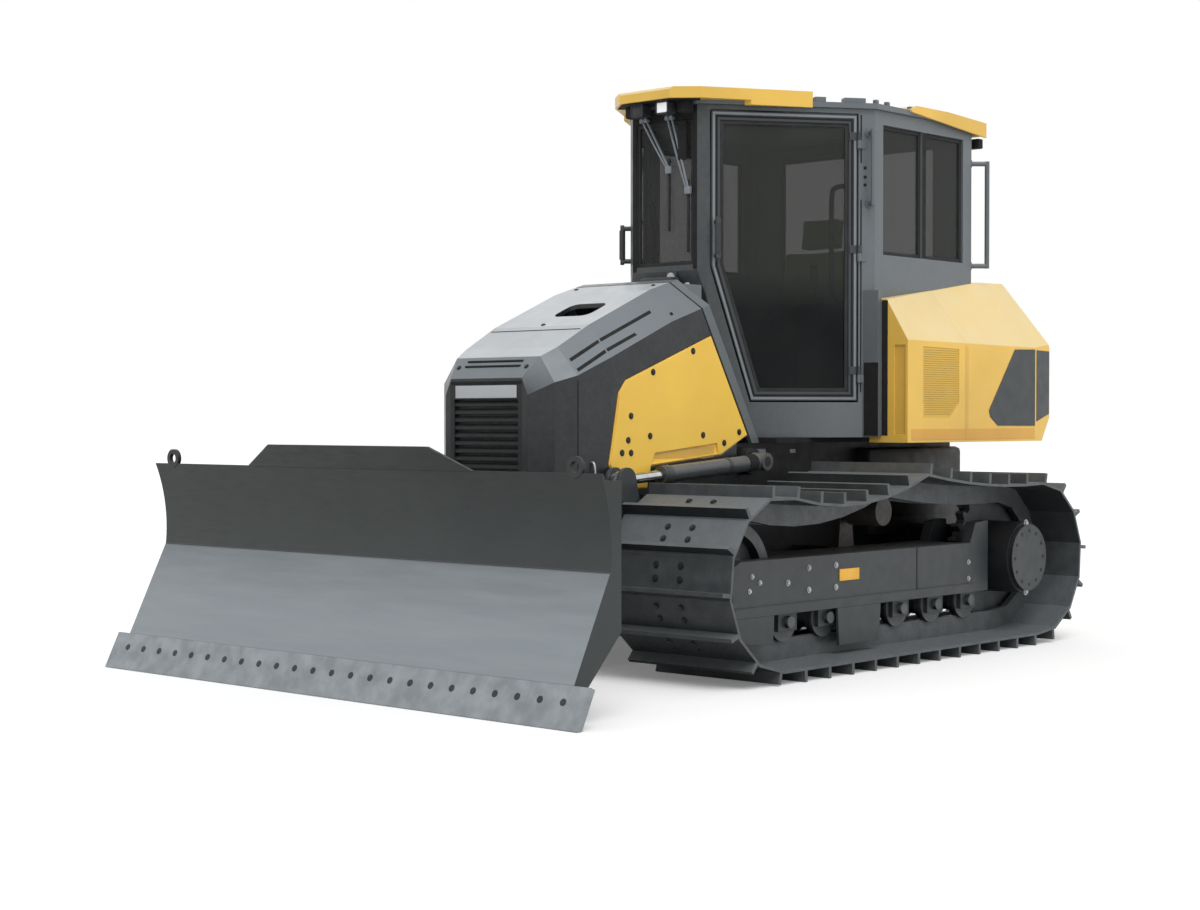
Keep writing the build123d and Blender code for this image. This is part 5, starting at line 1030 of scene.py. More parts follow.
# ---------------------------------------------------------------- blade
@dataclass
class Blade(SubAssembly):
    """Bolts along the cutting edge and the crease line across the blade."""

    bolt_count: int = 24
    bolt_z: float = 0.106
    bolt_reach: float = 1.50
    bolt_radius: float = 0.016
    edge_half: float = 1.29
    crease_z: float = 0.620
    crease_half: float = 1.525
    crease_radius: float = 0.004

    def edge_bolts(self) -> None:
        """Sinks a row of bolts into the cutting edge and the end bits."""
        piece = Workpiece("edge_bolts")
        for number in range(self.bolt_count):
            y = -self.bolt_reach + 2 * self.bolt_reach * number / (self.bolt_count - 1)
            node = "cutting_edge" if abs(y) < self.edge_half else "end_bits"
            at, normal = self.surface(node).in_front(y, self.bolt_z)
            piece.round_bar(at - normal * 0.006, at + normal * 0.0015, self.bolt_radius, 14)
        piece.done(Finish.DARK_BOLT, Slot.STEEL, "blade")

    def crease_bead(self) -> None:
        """Lays the rolled line where the two halves of the blade's face meet."""
        piece = Workpiece("crease_bead")
        at, _ = self.surface("moldboard").in_front(0.0, self.crease_z)
        ends = [(at.x - 0.001, y, self.crease_z) for y in (-self.crease_half, self.crease_half)]
        piece.round_bar(*ends, self.crease_radius, 8)
        piece.done(Finish.DARK, Slot.BLADE, "blade")

    def build(self) -> None:
        """Makes the pieces of the blade."""
        self.edge_bolts()
        self.crease_bead()


# ---------------------------------------------------------------- hood
@dataclass
class Hood(SubAssembly):
    """Seams, slots, strips, bolts, bare plates and handles of the hood and its side panels."""

    panel_bolts: tuple[Pair, ...] = (
        (0.721, 1.270), (0.576, 1.170), (0.157, 1.172), (-0.143, 1.186), (0.788, 1.088), (0.721, 1.087),
        (-0.017, 1.130), (0.238, 1.603), (0.553, 1.490), (0.742, 1.150), (0.780, 0.960),
    )
    panel_bolt: Pair = (0.0125, 0.007)
    band_corners: tuple[Pair, ...] = ((0.683, 1.060), (0.683, 1.112), (0.058, 1.112), (0.058, 1.050))
    band_spot: Pair = (0.4, 1.08)
    slot_x: Pair = (1.182, 1.202)
    slot_half: float = 0.19
    slot_radius: float = 0.0065
    strip_width: float = 0.014
    strips: tuple[Quad, ...] = (
        # x and z of the front and rear ends of each dark strip on the slanted flanks
        (1.060, 1.548, 0.868, 1.645), (0.858, 1.650, 0.480, 1.805),
        (1.060, 1.498, 0.868, 1.595), (0.858, 1.600, 0.360, 1.800),
    )
    cheek_seam: tuple[float, tuple[float, ...]] = (1.075, (0.93, 1.05, 1.20, 1.35, 1.44))
    cap_seam: tuple[float, tuple[float, ...]] = (0.90, (-0.31, -0.15, 0.0, 0.15, 0.31))
    top_bolts: tuple[Pair, ...] = (
        (1.205, 0.235), (1.205, -0.235), (0.84, 0.0), (0.30, 0.27), (0.30, -0.27),
    )
    top_bolt: Pair = (0.010, 0.006)
    front_marks: tuple[tuple[str, tuple[Pair, ...], Finish, Slot], ...] = (
        ("brow_plate", rectangle(-0.212, 0.212, 1.358, 1.420), Finish.PALE, Slot.CAB),
        ("brow_line", rectangle(-0.240, 0.240, 1.426, 1.438), Finish.VOID, Slot.DARK),
    )
    handle_x: float = 0.985
    handle_z: Pair = (1.045, 0.930)
    handle_out: float = 0.020
    handle_radius: float = 0.006

    def seam(self, piece: Workpiece, points: Iterable[Hit], radius: float = 0.0028) -> None:
        """Adds a seam line through surface places.

        Args:
            piece: The piece that takes it.
            points: Places with their directions.
            radius: Radius of the line.
        """
        piece.bar_along([at + normal * 0.0004 for at, normal in points], radius, 8)

    def panels(self) -> None:
        """Bolts each side panel and lays a deeper band across it."""
        bolts, band = Workpiece("panel_bolts"), Workpiece("panel_band")
        for side, word in HANDS:
            face = self.surface(f"side_panel_{word}")
            for x, z in self.panel_bolts:
                bolts.bolt(face.on_side(x, z, side)[0], (0, side, 0), *self.panel_bolt)
            y = face.on_side(*self.band_spot, side)[0].y
            band.plate([(x, y - side * 0.001, z) for x, z in self.band_corners], (0, side * 0.0018, 0))
        bolts.done(Finish.DARK_BOLT, Slot.DARK)
        band.done(Finish.DEEP_YELLOW, Slot.BODY)

    def strip(self, piece: Workpiece, side: int, ends: Quad) -> None:
        """Lays one dark strip on a slanted flank.

        Args:
            piece: The piece that takes it.
            side: 1 for left and -1 for right.
            ends: x and z of its front and rear ends.
        """
        x0, z0, x1, z1 = ends
        corners = ((x0, z0), (x1, z1), (x1, z1 - self.strip_width), (x0, z0 - self.strip_width))
        spots = [self.surface("hood").hit((x, side * 1.2, z), (0, -side, 0)) for x, z in corners]
        piece.plate([at - normal * 0.001 for at, normal in spots], spots[0][1] * 0.0022)

    def nose(self) -> None:
        """Adds the slots over the grille, the seams, the flank strips and the bolts on top."""
        face = self.surface("hood")
        slots, seams, bolts = Workpiece("nose_slots"), Workpiece("hood_seams"), Workpiece("hood_bolts")
        for x in self.slot_x:
            places = [face.on_top(x, self.slot_half * share) for share in (-1.0, -0.5, 0.0, 0.5, 1.0)]
            self.seam(slots, places, self.slot_radius)
        for side in SIDES:
            self.seam(seams, [face.on_side(self.cheek_seam[0], z, side) for z in self.cheek_seam[1]])
            for ends in self.strips:
                self.strip(seams, side, ends)
        self.seam(seams, [face.on_top(self.cap_seam[0], y) for y in self.cap_seam[1]])
        for x, y in self.top_bolts:
            bolts.bolt(*face.on_top(x, y), *self.top_bolt)
        slots.done(Finish.VOID, Slot.DARK)
        seams.done(Finish.VOID, Slot.DARK)
        bolts.done(Finish.DARK_BOLT, Slot.DARK)

    def front_plates(self) -> None:
        """Adds the bare pale plate over the grille, with the black line above it."""
        for name, corners, finish, slot in self.front_marks:
            piece = Workpiece(f"nose_{name}")
            spots = [self.surface("grille").in_front(y, z) for y, z in corners]
            piece.plate([at for at, _ in spots], spots[0][1] * 0.002)
            piece.done(finish, slot)

    def grab_handle(self) -> None:
        """Adds a grab bar low on each front cheek."""
        piece = Workpiece("cheek_handle")
        for side in SIDES:
            top, foot = (self.surface("hood").on_side(self.handle_x, z, side)[0] for z in self.handle_z)
            out = Vector((0, side * self.handle_out, 0))
            piece.bar_along([top, top + out, foot + out, foot], self.handle_radius)
        piece.done(Finish.BOLT, Slot.STEEL)

    def build(self) -> None:
        """Makes the pieces of the hood."""
        self.panels()
        self.nose()
        self.front_plates()
        self.grab_handle()


# ---------------------------------------------------------------- cab
@dataclass
class Cab(SubAssembly):
    """Painted highlight lines, seals, handles, wipers, lamp glasses and dark trim of the cab."""

    seal_width: float = 0.020
    seal_height: float = 0.008
    door_angle: float = 35.8
    door_foot: Pair = (-0.139, 0.268)
    door_outline: tuple[Pair, ...] = (
        # distance along the door wall and height, round the door
        (0.026, 2.070), (0.026, 2.897), (0.842, 2.897), (0.842, 1.353), (0.243, 1.353),
    )
    front_x: float = -0.109
    roof_z: float = 2.9606
    rail_points: tuple[Triple, ...] = (
        # distance along, height and distance out of the inner grab rail's bends
        (0.800, 2.520, -0.045), (0.735, 2.515, -0.060), (0.720, 2.480, -0.070), (0.720, 2.200, -0.070),
        (0.720, 1.960, -0.070), (0.735, 1.905, -0.062), (0.825, 1.845, -0.045),
    )
    wiper_runs: tuple[tuple[Pair, Pair], ...] = (
        # y and z of each arm's pivot and of its far end
        ((-0.146, 2.872), (0.032, 2.595)), ((0.032, 2.872), (0.165, 2.476)),
    )
    post_dots: tuple[float, ...] = (2.613, 2.564, 2.521)
    roof_blocks: tuple[Triple, ...] = (
        # distance along the door wall of both ends, and height
        (0.600, 0.660, 0.026), (0.765, 0.885, 0.026),
    )
    # given for the left side
    roof_pegs: tuple[Box, ...] = tuple(
        ((x - 0.014, 0.810, 2.9596), (x + 0.014, 0.834, 2.9826), 0.004) for x in (-0.908, -1.014, -1.239)
    )
    roof_block_out: Pair = (-0.040, 0.016)
    lamp_y: float = 0.088
    # from the lights' front, in the middle of one lamp
    lamp_glass: Box = ((-0.0055, -0.034, 2.886), (-0.0010, 0.034, 2.938), 0.002)
    mount: Box = ((-1.900, -0.600, 1.1275), (-0.320, 0.600, 1.1545), 0.0)
    # the pale ring is a painted highlight along the door's edge
    highlight_and_groove: tuple[tuple[str, float, float, float, Finish, Slot], ...] = (
        # name, distance in from the outline, width, height
        ("pale_highlight", 0.006, 0.013, 0.0040, Finish.CAB_LIGHT, Slot.CAB),
        ("groove", 0.024, 0.010, 0.0012, Finish.VOID, Slot.PLASTIC),
    )
    grip_plate: Quad = (0.030, 0.070, 2.095, 2.335)
    grip: tuple[Triple, ...] = ((0.050, 2.135, 0.052), (0.050, 2.295, 0.052))
    grip_radius: float = 0.0165
    rail_radius: float = 0.014
    wiper_twin: float = 0.030
    # distance out of the front of each arm's pivot, knee and far end
    wiper_out: Triple = (0.014, 0.026, 0.010)
    wiper_pin: float = 0.013
    wiper_arm: float = 0.006
    # boxes round an arm's far end
    wiper_clip: Box = ((-0.004, -0.015, -0.020), (0.018, 0.025, 0.020), 0.004)
    wiper_blade: Box = ((-0.006, -0.006, -0.330), (0.006, 0.008, 0.060), 0.002)
    # the windshield's dark surround: its head, and its left post
    surround_head: Box = ((-0.110, -0.226, 2.855), (-0.1075, 0.226, 2.9286), 0.0)
    surround_post: Box = ((-0.110, 0.200, 2.055), (-0.1075, 0.226, 2.855), 0.0)
    lining: tuple[Pair, ...] = (
        # x and y of the visor lining's corners
        (0.048, 0.168), (-0.056, 0.290), (-0.105, 0.250), (-0.105, -0.250), (-0.056, -0.290), (0.048, -0.168),
    )
    lining_z: float = 2.950
    # a thicker part of the lining, given for the left side
    lining_box: Box = ((-0.100, 0.150, 2.885), (-0.030, 0.215, 2.946), 0.008)
    # a dark block in front of the windshield's upper left corner
    front_box: Box = ((-0.104, 0.110, 2.640), (-0.084, 0.165, 2.850), 0.006)
    # distance of the dots along the door wall
    post_s: float = 0.887
    dot_radius: float = 0.009
    post_grooves: tuple[Quad, ...] = (
        (0.861, 0.868, 2.640, 2.897), (0.861, 0.868, 1.400, 2.440),
    )
    post_strips: tuple[Box, ...] = (
        # given for the left side
        ((-0.8795, 0.884, 1.165), (-0.8785, 0.922, 1.895), 0.0),
        ((-0.8475, 0.790, 1.165), (-0.8465, 0.882, 1.560), 0.0),
        ((-1.4020, 0.819, 2.152), (-1.3680, 0.8215, 2.853), 0.0),
        ((-1.990, 0.735, 2.822), (-1.940, 0.830, 2.878), 0.006),
    )
    cowl_bolt: Pair = (0.013, 0.010)
    knob_at: Triple = (-0.097, 0.055, 2.015)
    knob: Pair = (0.020, 0.012)
    bracket_spot: Pair = (-0.070, 0.0)
    # corners from the cowl's top at that place
    bracket_foot: Box = ((-0.1085, -0.110, -0.002), (-0.030, 0.110, 0.055), 0.008)
    cowl_bolts: tuple[Pair, ...] = (
        (-0.020, 0.200), (-0.020, -0.200), (0.060, 0.300), (0.060, -0.300), (0.110, 0.060), (0.110, -0.060),
    )

    def on_door(self, s: float, z: float, out: float, side: int = 1) -> Vector:
        """A place on the door wall.

        Args:
            s: Distance rearward along the wall from the front post.
            z: Height.
            out: Distance out of the wall's face.
            side: 1 for left and -1 for right.

        Returns:
            The place.
        """
        turn = math.radians(self.door_angle)
        x = self.door_foot[0] - s * math.cos(turn) + out * math.sin(turn)
        y = self.door_foot[1] + s * math.sin(turn) + out * math.cos(turn)
        return Vector((x, side * y, z))

    def glass_outline(self, node: str, facing: Vector) -> tuple[list[list[Vector]], Vector]:
        """The outer outlines of a pane node.

        Args:
            node: The pane's node.
            facing: Rough direction that its outer face looks in.

        Returns:
            Outlines of its outer faces, and the face's direction.
        """
        faces = [f for f in self.surface(node).flat_faces(0.05) if f[1].dot(facing) > 0.7]
        return [corners for _, _, corners in faces], faces[0][1]

    def seals(self) -> None:
        """Lays a rubber seal round the outer face of each pane."""
        turn = math.radians(self.door_angle)
        for node, body, facing in (
            ("windshield", "chassis", (1, 0, 0)),
            ("rear_glass", "chassis", (-1, 0, 0)),
            ("side_glass_left", "chassis", (0, 1, 0)),
            ("side_glass_right", "chassis", (0, -1, 0)),
            ("door_glass_left", "door_left", (math.sin(turn), math.cos(turn), 0)),
            ("door_glass_right", "door_right", (math.sin(turn), -math.cos(turn), 0)),
        ):
            piece = Workpiece(f"{node}_seal")
            outlines, normal = self.glass_outline(node, Vector(facing))
            for corners in outlines:
                piece.ring([c + normal * 0.0002 for c in corners], self.seal_width, normal * self.seal_height)
            piece.done(Finish.RUBBER, Slot.PLASTIC, body)

    def outward(self, side: int) -> Vector:
        """The direction that the door wall looks in."""
        return self.on_door(0.0, 0.0, 1.0, side) - self.on_door(0.0, 0.0, 0.0, side)

    def inset(self, by: float) -> list[Pair]:
        """The door's outline moved inwards.

        Args:
            by: Distance in metres.

        Returns:
            Its corners.
        """
        points = [Vector(point) for point in self.door_outline]
        lines = []
        for first, second in zip(points, points[1:] + points[:1]):
            along = (second - first).normalized()
            lines.append((first + Vector((along.y, -along.x)) * by, along))
        corners = []
        for (a, u), (b, v) in zip(lines[-1:] + lines[:-1], lines):
            gap = b - a
            share = (gap.x * v.y - gap.y * v.x) / (u.x * v.y - u.y * v.x)
            corners.append(tuple(a + u * share))
        return corners

    def on_wall(self, piece: Workpiece, corners: Iterable[Pair], side: int, height: float) -> None:
        """Adds a plate on the door wall.

        Args:
            piece: The piece that takes it.
            corners: Distance along the wall and height of each corner.
            side: 1 for left and -1 for right.
            height: Its thickness.
        """
        piece.plate([self.on_door(s, z, 0.0002, side) for s, z in corners], self.outward(side) * height)

    def door_highlight_and_groove(self) -> None:
        """Lays a pale line round each door as a painted highlight, and a dark groove."""
        for side, word in HANDS:
            for name, inset, width, height, finish, slot in self.highlight_and_groove:
                piece = Workpiece(f"door_{name}_{word}")
                piece.ring([self.on_door(s, z, 0.0002, side) for s, z in self.inset(inset)], width,
                           self.outward(side) * height)
                piece.done(finish, slot, f"door_{word}")

    def handles(self) -> None:
        """Adds the outer grip's plate and sleeve and the inner grab rail of each door."""
        for side, word in HANDS:
            pull = Workpiece(f"handle_grip_{word}")
            self.on_wall(pull, rectangle(*self.grip_plate), side, 0.0030)
            pull.round_bar(*(self.on_door(*spot, side) for spot in self.grip), self.grip_radius)
            pull.done(Finish.PLASTIC, Slot.PLASTIC, f"door_{word}")
            rail = Workpiece(f"inner_rail_{word}")
            rail.bar_along([self.on_door(*spot, side) for spot in self.rail_points], self.rail_radius)
            rail.done(Finish.VOID, Slot.PLASTIC, f"door_{word}")

    def wipers(self) -> None:
        """Adds two twin wiper arms with their blades."""
        arms, rubber = Workpiece("wiper_arms"), Workpiece("wiper_blades")
        root, bend, tip = (self.front_x + out for out in self.wiper_out)
        for (y0, z0), (y1, z1) in self.wiper_runs:
            for shift in (0.0, self.wiper_twin):
                arms.round_bar((self.front_x, y0 + shift, z0), (root + 0.012, y0 + shift, z0), self.wiper_pin)
                knee = (bend, (y0 + y1) / 2 + shift, (z0 + z1) / 2)
                arms.bar_along([(root, y0 + shift, z0), knee, (tip, y1 + shift * 0.4, z1)], self.wiper_arm)
            arms.block_at((self.front_x, y1, z1), self.wiper_clip)
            rubber.block_at((self.front_x, y1, z1), self.wiper_blade)
        arms.done(Finish.CAB_LIGHT, Slot.PLASTIC)
        rubber.done(Finish.RUBBER, Slot.PLASTIC)

    def dark_front(self) -> None:
        """Blackens the windshield's surround and lines the visor from below."""
        surround = Workpiece("dark_surround").block(*self.surround_head).twin_blocks(self.surround_post)
        surround.done(Finish.VOID, Slot.PLASTIC)
        under = Workpiece("visor_lining")
        under.plate([(x, y, self.lining_z) for x, y in self.lining], (0, 0, -0.004))
        under.twin_blocks(self.lining_box).block(*self.front_box)
        under.done(Finish.VOID, Slot.PLASTIC)

    def lamps(self) -> None:
        """Puts a glass in each work light, the right one dark."""
        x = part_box("work_lights")[1].x
        for (side, word), finish in zip(HANDS, (Finish.LAMP_GLASS, Finish.PLASTIC)):
            piece = Workpiece(f"lamp_glass_{word}").block_at((x, side * self.lamp_y, 0), self.lamp_glass)
            piece.done(finish, Slot.LAMP)

    def post_trim(self) -> None:
        """Adds the dots and grooves of the rear door posts and the dark strips behind them."""
        dark = Workpiece("post_marks")
        for side in SIDES:
            out = self.outward(side)
            for z in self.post_dots:
                at = self.on_door(self.post_s, z, 0.0, side)
                dark.round_bar(at - out * 0.001, at + out * 0.002, self.dot_radius, 12)
            for groove in self.post_grooves:
                self.on_wall(dark, rectangle(*groove), side, 0.0015)
        dark.twin_blocks(*self.post_strips).done(Finish.VOID, Slot.PLASTIC)

    def roof_trim(self) -> None:
        """Adds raised blocks and pegs on the roof's edge, and the dark mount under the cab."""
        piece = Workpiece("roof_brackets")
        for side in SIDES:
            for s0, s1, height in self.roof_blocks:
                corners = rectangle(s0, s1, *self.roof_block_out)
                piece.plate([self.on_door(s, self.roof_z, out, side) for s, out in corners], (0, 0, height))
        piece.twin_blocks(*self.roof_pegs).done(Finish.CAB_GREY, Slot.CAB)
        Workpiece("cab_mount").block(*self.mount).done(Finish.VOID, Slot.DARK)

    def cowl_trim(self) -> None:
        """Adds the bracket and the bright bolts under the windshield."""
        face = self.surface("cowl")
        bolts, bracket = Workpiece("cowl_bolts"), Workpiece("cowl_bracket")
        for x, y in self.cowl_bolts:
            bolts.bolt(*face.on_top(x, y), *self.cowl_bolt)
        bolts.bolt(self.knob_at, (1, 0, 0), *self.knob)
        bolts.done(Finish.BOLT, Slot.STEEL)
        z = face.on_top(*self.bracket_spot)[0].z
        bracket.block_at((0, 0, z), self.bracket_foot)
        bracket.block((-0.1085, 0.020, z + 0.050), (-0.099, 0.090, 2.045), 0.003)
        bracket.done(Finish.DARK, Slot.DARK)

    def build(self) -> None:
        """Makes the pieces of the cab."""
        for make in (self.seals, self.door_highlight_and_groove, self.handles, self.wipers, self.dark_front, self.lamps,
                     self.post_trim, self.roof_trim, self.cowl_trim):
            make()


# ---------------------------------------------------------------- rear body
@dataclass
class RearBody(SubAssembly):
    """Bare side panels, lower stripes, seam bands, painted shade in the front recesses and vent holes of the
    rear body.
    """

    flat_y: float = 1.050
    panel_corners: tuple[Pair, ...] = (
        (-1.980, 1.653), (-2.205, 1.658), (-2.205, 1.215), (-1.795, 1.217), (-1.713, 1.268), (-1.701, 1.304),
    )
    corner_strip: tuple[Pair, ...] = (
        (-2.226, 1.655), (-2.394, 1.652), (-2.394, 1.285), (-2.226, 1.240),
    )
    stripes: tuple[Quad, ...] = (
        # front x, rear x, lowest and highest z
        (-0.918, -1.452, 1.140, 1.200), (-1.459, -2.205, 1.140, 1.200),
    )
    seam_band: Quad = (-1.459, -1.486, 1.202, 1.655)
    # darker yellow filling the front recess: painted shade
    recess_shade_band: Box = ((-0.8895, 0.965, 1.177), (-0.8885, 1.033, 1.653), 0.0)
    vent: tuple[Pair, ...] = (
        (-1.032, 1.263), (-1.030, 1.646), (-1.389, 1.640), (-1.390, 1.343), (-1.302, 1.263),
    )
    vent_spot: Pair = (-1.2, 1.5)
    hole_rows: int = 32
    hole_columns: int = 30
    hole_radius: float = 0.0034
    hole_margin: float = 0.010

    def upright(self, piece: Workpiece, corners: Sequence[Pair], side: int, out: float) -> None:
        """Adds a plate on the flat side.

        Args:
            piece: The piece that takes it.
            corners: Its corners in x and z.
            side: 1 for left and -1 for right.
            out: Its thickness.
        """
        piece.plate([(x, side * (self.flat_y - 0.001), z) for x, z in corners], (0, side * (0.001 + out), 0))

    def side_trim(self) -> None:
        """Adds the bare dark panel, the corner's strip, the lower stripes, the seam bands and the painted
        shade in the front recesses.
        """
        panel, stripe, band = Workpiece("bare_side_panel"), Workpiece("lower_stripe"), Workpiece("seam_band")
        face = self.surface("rear_hood")
        for side in SIDES:
            self.upright(panel, self.panel_corners, side, 0.003)
            spots = [face.on_side(x, z, side) for x, z in self.corner_strip]
            panel.plate([at - normal * 0.001 for at, normal in spots], spots[0][1] * 0.003)
            for edges in self.stripes:
                self.upright(stripe, rectangle(*edges), side, 0.0010)
            self.upright(band, rectangle(*self.seam_band), side, 0.0008)
        panel.done(Finish.DARK, Slot.DARK)
        stripe.done(Finish.ORANGE, Slot.BODY)
        band.twin_blocks(self.recess_shade_band).done(Finish.DEEP_YELLOW, Slot.BODY)

    def inside(self, x: float, z: float, margin: float) -> bool:
        """True if a place is inside the vent's outline by a margin."""
        corners = list(self.vent)
        for (x0, z0), (x1, z1) in zip(corners, corners[1:] + corners[:1]):
            along = math.hypot(x1 - x0, z1 - z0)
            if ((x1 - x0) * (z - z0) - (z1 - z0) * (x - x0)) / along < margin:
                return False
        return True

    def vents(self) -> None:
        """Perforates the vents in the fenders' sides."""
        field, holes = Workpiece("vent_field"), Workpiece("vent_holes")
        (rear, front), (low, high) = ((min(values), max(values)) for values in zip(*self.vent))
        for side, word in HANDS:
            y = self.surface(f"fender_{word}").on_side(*self.vent_spot, side)[0].y
            field.plate([(x, y - side * 0.001, z) for x, z in self.vent], (0, side * 0.0016, 0))
            for row in range(self.hole_rows):
                for column in range(self.hole_columns):
                    x = front - (front - rear) * (column + 0.5 + 0.5 * (row % 2)) / (self.hole_columns + 1)
                    z = low + (high - low) * (row + 0.5) / self.hole_rows
                    if self.inside(x, z, self.hole_margin):
                        holes.round_bar((x, y, z), (x, y + side * 0.0012, z), self.hole_radius, 6)
        field.done(Finish.SHADE_YELLOW, Slot.BODY)
        holes.done(Finish.HOLE_YELLOW, Slot.PLASTIC)

    def build(self) -> None:
        """Makes the pieces of the rear body."""
        self.side_trim()
        self.vents()


# ---------------------------------------------------------------- operator's place
@dataclass
class OperatorPlace(SubAssembly):
    """Padded seat, armrests, levers and screen inside the cab."""

    seat_x: float = -1.18
    seat_z: float = 1.64
    pads: tuple[tuple[str, Triple, Triple, float], ...] = (
        # low and high corner from the seat's place, and tilt in degrees
        ("seat_cushion", (-0.240, -0.245, 0.004), (0.280, 0.245, 0.135), 0.0),
        ("seat_back", (-0.345, -0.235, 0.100), (-0.225, 0.235, 0.600), -8.0),
        ("head_rest", (-0.420, -0.130, 0.620), (-0.320, 0.130, 0.790), -6.0),
        ("arm_pad_left", (-0.220, 0.300, 0.262), (0.200, 0.400, 0.315), 0.0),
        ("arm_pad_right", (-0.220, -0.400, 0.262), (0.200, -0.300, 0.315), 0.0),
    )
    lever_foot: Pair = (0.18, 0.365)
    lever_z: float = 1.90
    lever: tuple[tuple[Triple, Triple, float, int, float], ...] = (
        # start and end over the lever's foot, radius, sides and end radius
        ((0.000, 0.0, 0.00), (0.000, 0.0, 0.04), 0.045, 20, 0.030),
        ((0.000, 0.0, 0.03), (0.020, 0.0, 0.13), 0.013, 20, 0.013),
        ((0.020, 0.0, 0.11), (0.035, 0.0, 0.21), 0.024, 16, 0.020),
    )
    screen: Box = ((-0.36, -0.11, 1.93), (-0.33, 0.11, 2.07), 0.008)

    def cushion(self, name: str, low: Point, high: Point, tilt: float = 0.0) -> bpy.types.Object:
        """Makes one crowned pad with pulled-in sides and a sewn channel.

        Args:
            name: The piece's name.
            low: Lowest corner before the tilt.
            high: Highest corner before the tilt.
            tilt: Turn about Y through its foot, in degrees.

        Returns:
            The pad.
        """
        piece = Workpiece(name)
        mesh = piece.mesh
        bmesh.ops.create_cube(mesh, size=1.0)
        bmesh.ops.subdivide_edges(mesh, edges=list(mesh.edges), cuts=9, use_grid_fill=True)
        size = Vector([b - a for a, b in zip(low, high)])
        middle = Vector([(a + b) / 2 for a, b in zip(low, high)])
        thin = min(range(3), key=lambda axis: size[axis])
        wide = [axis for axis in range(3) if axis != thin]
        for vert in mesh.verts:
            u, v, w = (2 * vert.co[wide[0]], 2 * vert.co[wide[1]], 2 * vert.co[thin])
            crown = 1 - 0.42 * max(abs(u), abs(v)) ** 4
            channel = 1 - 0.16 * math.exp(-((abs(v) - 0.55) / 0.07) ** 2)
            vert.co[thin] = w / 2 * crown * channel
            pull = 1 - 0.05 * (1 - abs(w)) ** 2 - 0.035 * (1 - abs(u * v))
            vert.co[wide[0]] *= pull
            vert.co[wide[1]] *= pull
        bmesh.ops.scale(mesh, vec=size, verts=mesh.verts)
        foot = Matrix.Translation((middle.x, middle.y, low[2]))
        turn = foot @ Matrix.Rotation(math.radians(tilt), 4, "Y") @ foot.inverted()
        bmesh.ops.transform(mesh, matrix=turn @ Matrix.Translation(middle), verts=mesh.verts)
        pad = piece.done(Finish.CLOTH, Slot.SEAT, smooth=80.0)
        soft = pad.modifiers.new("soft", "SUBSURF")
        soft.levels = soft.render_levels = 1
        return pad

    def seat(self) -> None:
        """Makes the pads of seat and armrests, and hides the plain solid seat."""
        at = Vector((self.seat_x, 0.0, self.seat_z))
        for name, low, high, tilt in self.pads:
            self.cushion(name, at + Vector(low), at + Vector(high), tilt)
        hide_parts("seat")

    def controls(self) -> None:
        """Adds two levers and a screen."""
        levers = Workpiece("levers")
        for side in SIDES:
            foot = Vector((self.seat_x + self.lever_foot[0], side * self.lever_foot[1], self.lever_z))
            for start, end, radius, sides, end_radius in self.lever:
                levers.round_bar(foot + Vector(start), foot + Vector(end), radius, sides, end_radius)
        levers.done(Finish.PLASTIC, Slot.PLASTIC)
        Workpiece("screen").block(*self.screen).done(Finish.PLASTIC, Slot.PLASTIC)

    def build(self) -> None:
        """Makes the pieces of the operator's place."""
        self.seat()
        self.controls()


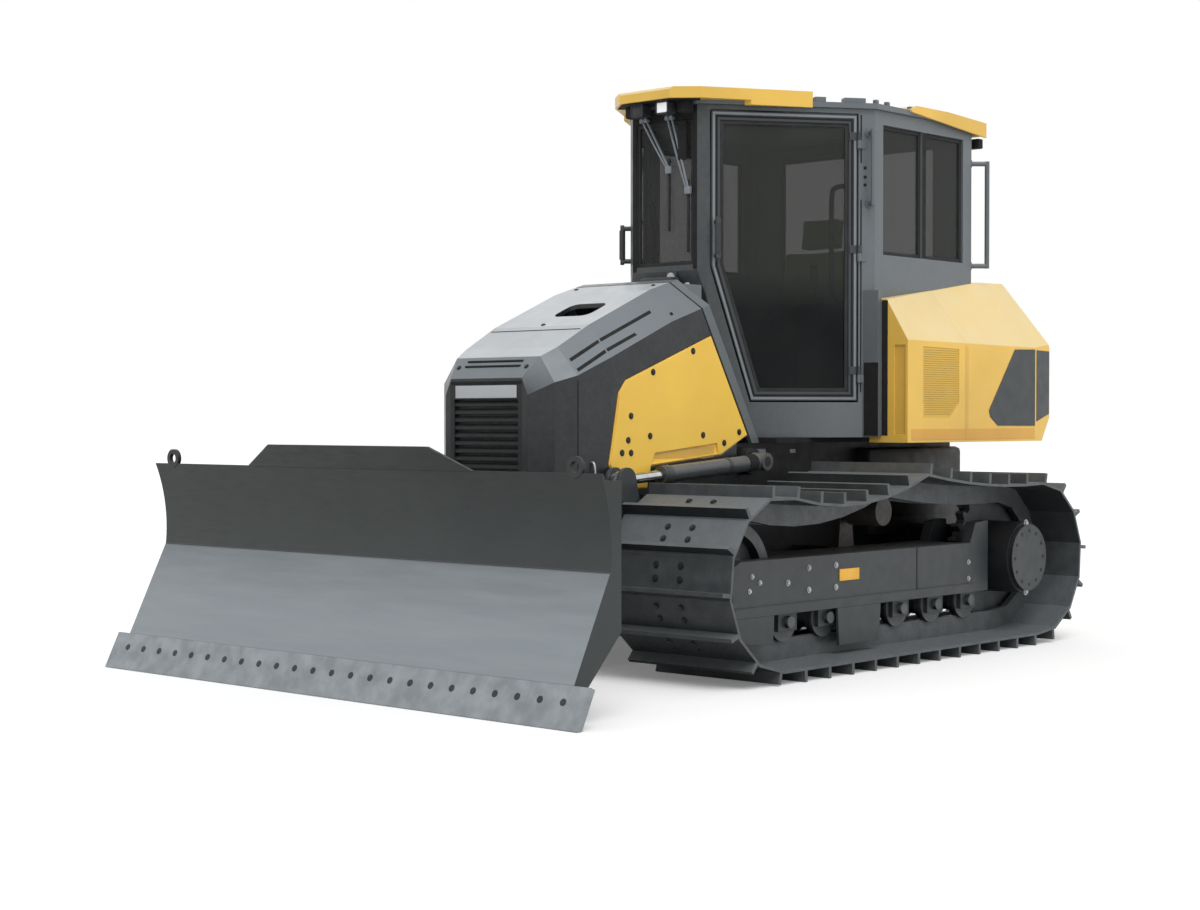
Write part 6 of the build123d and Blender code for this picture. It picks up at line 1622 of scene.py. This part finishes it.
# ---------------------------------------------------------------- studio
@dataclass
class Studio:
    """Camera, soft light and pale floor."""

    camera_at: Triple = (8.37, 7.176, 1.26)
    view_turn: float = 42.04
    view_dip: float = 1.033
    lens: float = 61.56
    sky: float = 0.62
    sun: float = 1.5
    sun_toward: Triple = (-0.35, -0.62, -1.0)
    sun_spread: float = 40.0
    floor_size: float = 60.0

    def camera(self) -> None:
        """Places the camera."""
        data = bpy.data.cameras.new("camera")
        data.lens = self.lens
        data.sensor_width = 36.0
        data.clip_end = 200.0
        camera = placed("camera", data)
        turn, dip = math.radians(self.view_turn), math.radians(self.view_dip)
        ahead = Vector((-math.cos(turn) * math.cos(dip), -math.sin(turn) * math.cos(dip), -math.sin(dip)))
        camera.location = self.camera_at
        camera.rotation_euler = ahead.to_track_quat("-Z", "Y").to_euler()
        bpy.context.scene.camera = camera

    def light(self) -> None:
        """Adds the soft sun and an even pale surrounding."""
        data = bpy.data.lights.new("sun", "SUN")
        data.energy = self.sun
        data.angle = math.radians(self.sun_spread)
        lamp = placed("sun", data)
        lamp.rotation_euler = Vector(self.sun_toward).to_track_quat("-Z", "Y").to_euler()
        world = bpy.data.worlds.new("studio")
        bpy.context.scene.world = world
        world.use_nodes = True
        tree = world.node_tree
        tree.nodes.clear()
        output = tree.nodes.new("ShaderNodeOutputWorld")
        path = tree.nodes.new("ShaderNodeLightPath")
        mix = tree.nodes.new("ShaderNodeMixShader")
        share = path.outputs["Is Camera Ray"]
        for kind in ("Is Glossy Ray", "Is Transmission Ray"):
            either = tree.nodes.new("ShaderNodeMath")
            either.operation = "MAXIMUM"
            tree.links.new(share, either.inputs[0])
            tree.links.new(path.outputs[kind], either.inputs[1])
            share = either.outputs[0]
        tree.links.new(share, mix.inputs["Fac"])
        for place, strength in ((1, self.sky), (2, 1.0)):
            glow = tree.nodes.new("ShaderNodeBackground")
            glow.inputs["Color"].default_value = (1.0, 1.0, 1.0, 1.0)
            glow.inputs["Strength"].default_value = strength
            tree.links.new(glow.outputs[0], mix.inputs[place])
        tree.links.new(mix.outputs[0], output.inputs["Surface"])

    def floor(self) -> None:
        """Lays the pale floor."""
        mesh = bmesh.new()
        bmesh.ops.create_grid(mesh, x_segments=1, y_segments=1, size=self.floor_size)
        data = bpy.data.meshes.new("floor")
        mesh.to_mesh(data)
        mesh.free()
        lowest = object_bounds()[0][2]
        floor = placed("floor", data)
        floor.location = (0, 0, lowest - 0.001)
        graph = Graph("pale_floor")
        tone = graph.mixed(graph.noise(0.6, 2), (0.93, 0.93, 0.93), (0.96, 0.96, 0.96))
        path = graph.node("ShaderNodeLightPath")
        shade = graph.node("ShaderNodeBsdfDiffuse")
        glow = graph.node("ShaderNodeEmission")
        both = graph.node("ShaderNodeAddShader")
        graph.link(tone, shade.inputs["Color"])
        graph.link(graph.spread(path.outputs["Is Camera Ray"], 0.0, 1.0, 0.0, 0.16), glow.inputs["Strength"])
        graph.link(shade.outputs[0], both.inputs[0])
        graph.link(glow.outputs[0], both.inputs[1])
        graph.link(both.outputs[0], graph.output.inputs["Surface"])
        data.materials.append(graph.material)
        floor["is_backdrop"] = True

    def build(self) -> None:
        """Makes the camera, the light and the floor."""
        self.camera()
        self.light()
        self.floor()
        bpy.context.scene.view_settings.view_transform = "Standard"


def dress_nodes(nodes: dict[str, bpy.types.Object]) -> None:
    """Gives each CAD node its finish.

    Args:
        nodes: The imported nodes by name.
    """
    for finish, names in NODE_FINISHES.items():
        for name in names:
            data = nodes[name].data
            data.materials.clear()
            data.materials.append(finish.material)
            LOG.info("%s has %s", name, finish.name)


def main() -> None:
    """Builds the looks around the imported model."""
    logging.basicConfig(level=logging.INFO, format="%(name)s: %(message)s")
    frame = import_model()
    nodes = frame["nodes"]
    Studio().build()
    dress_nodes(nodes)
    for part in (Undercarriage, Blade, Hood, Cab, RearBody, OperatorPlace):
        part(nodes).build()
    bpy.context.view_layer.update()


if __name__ == "__main__":
    main()
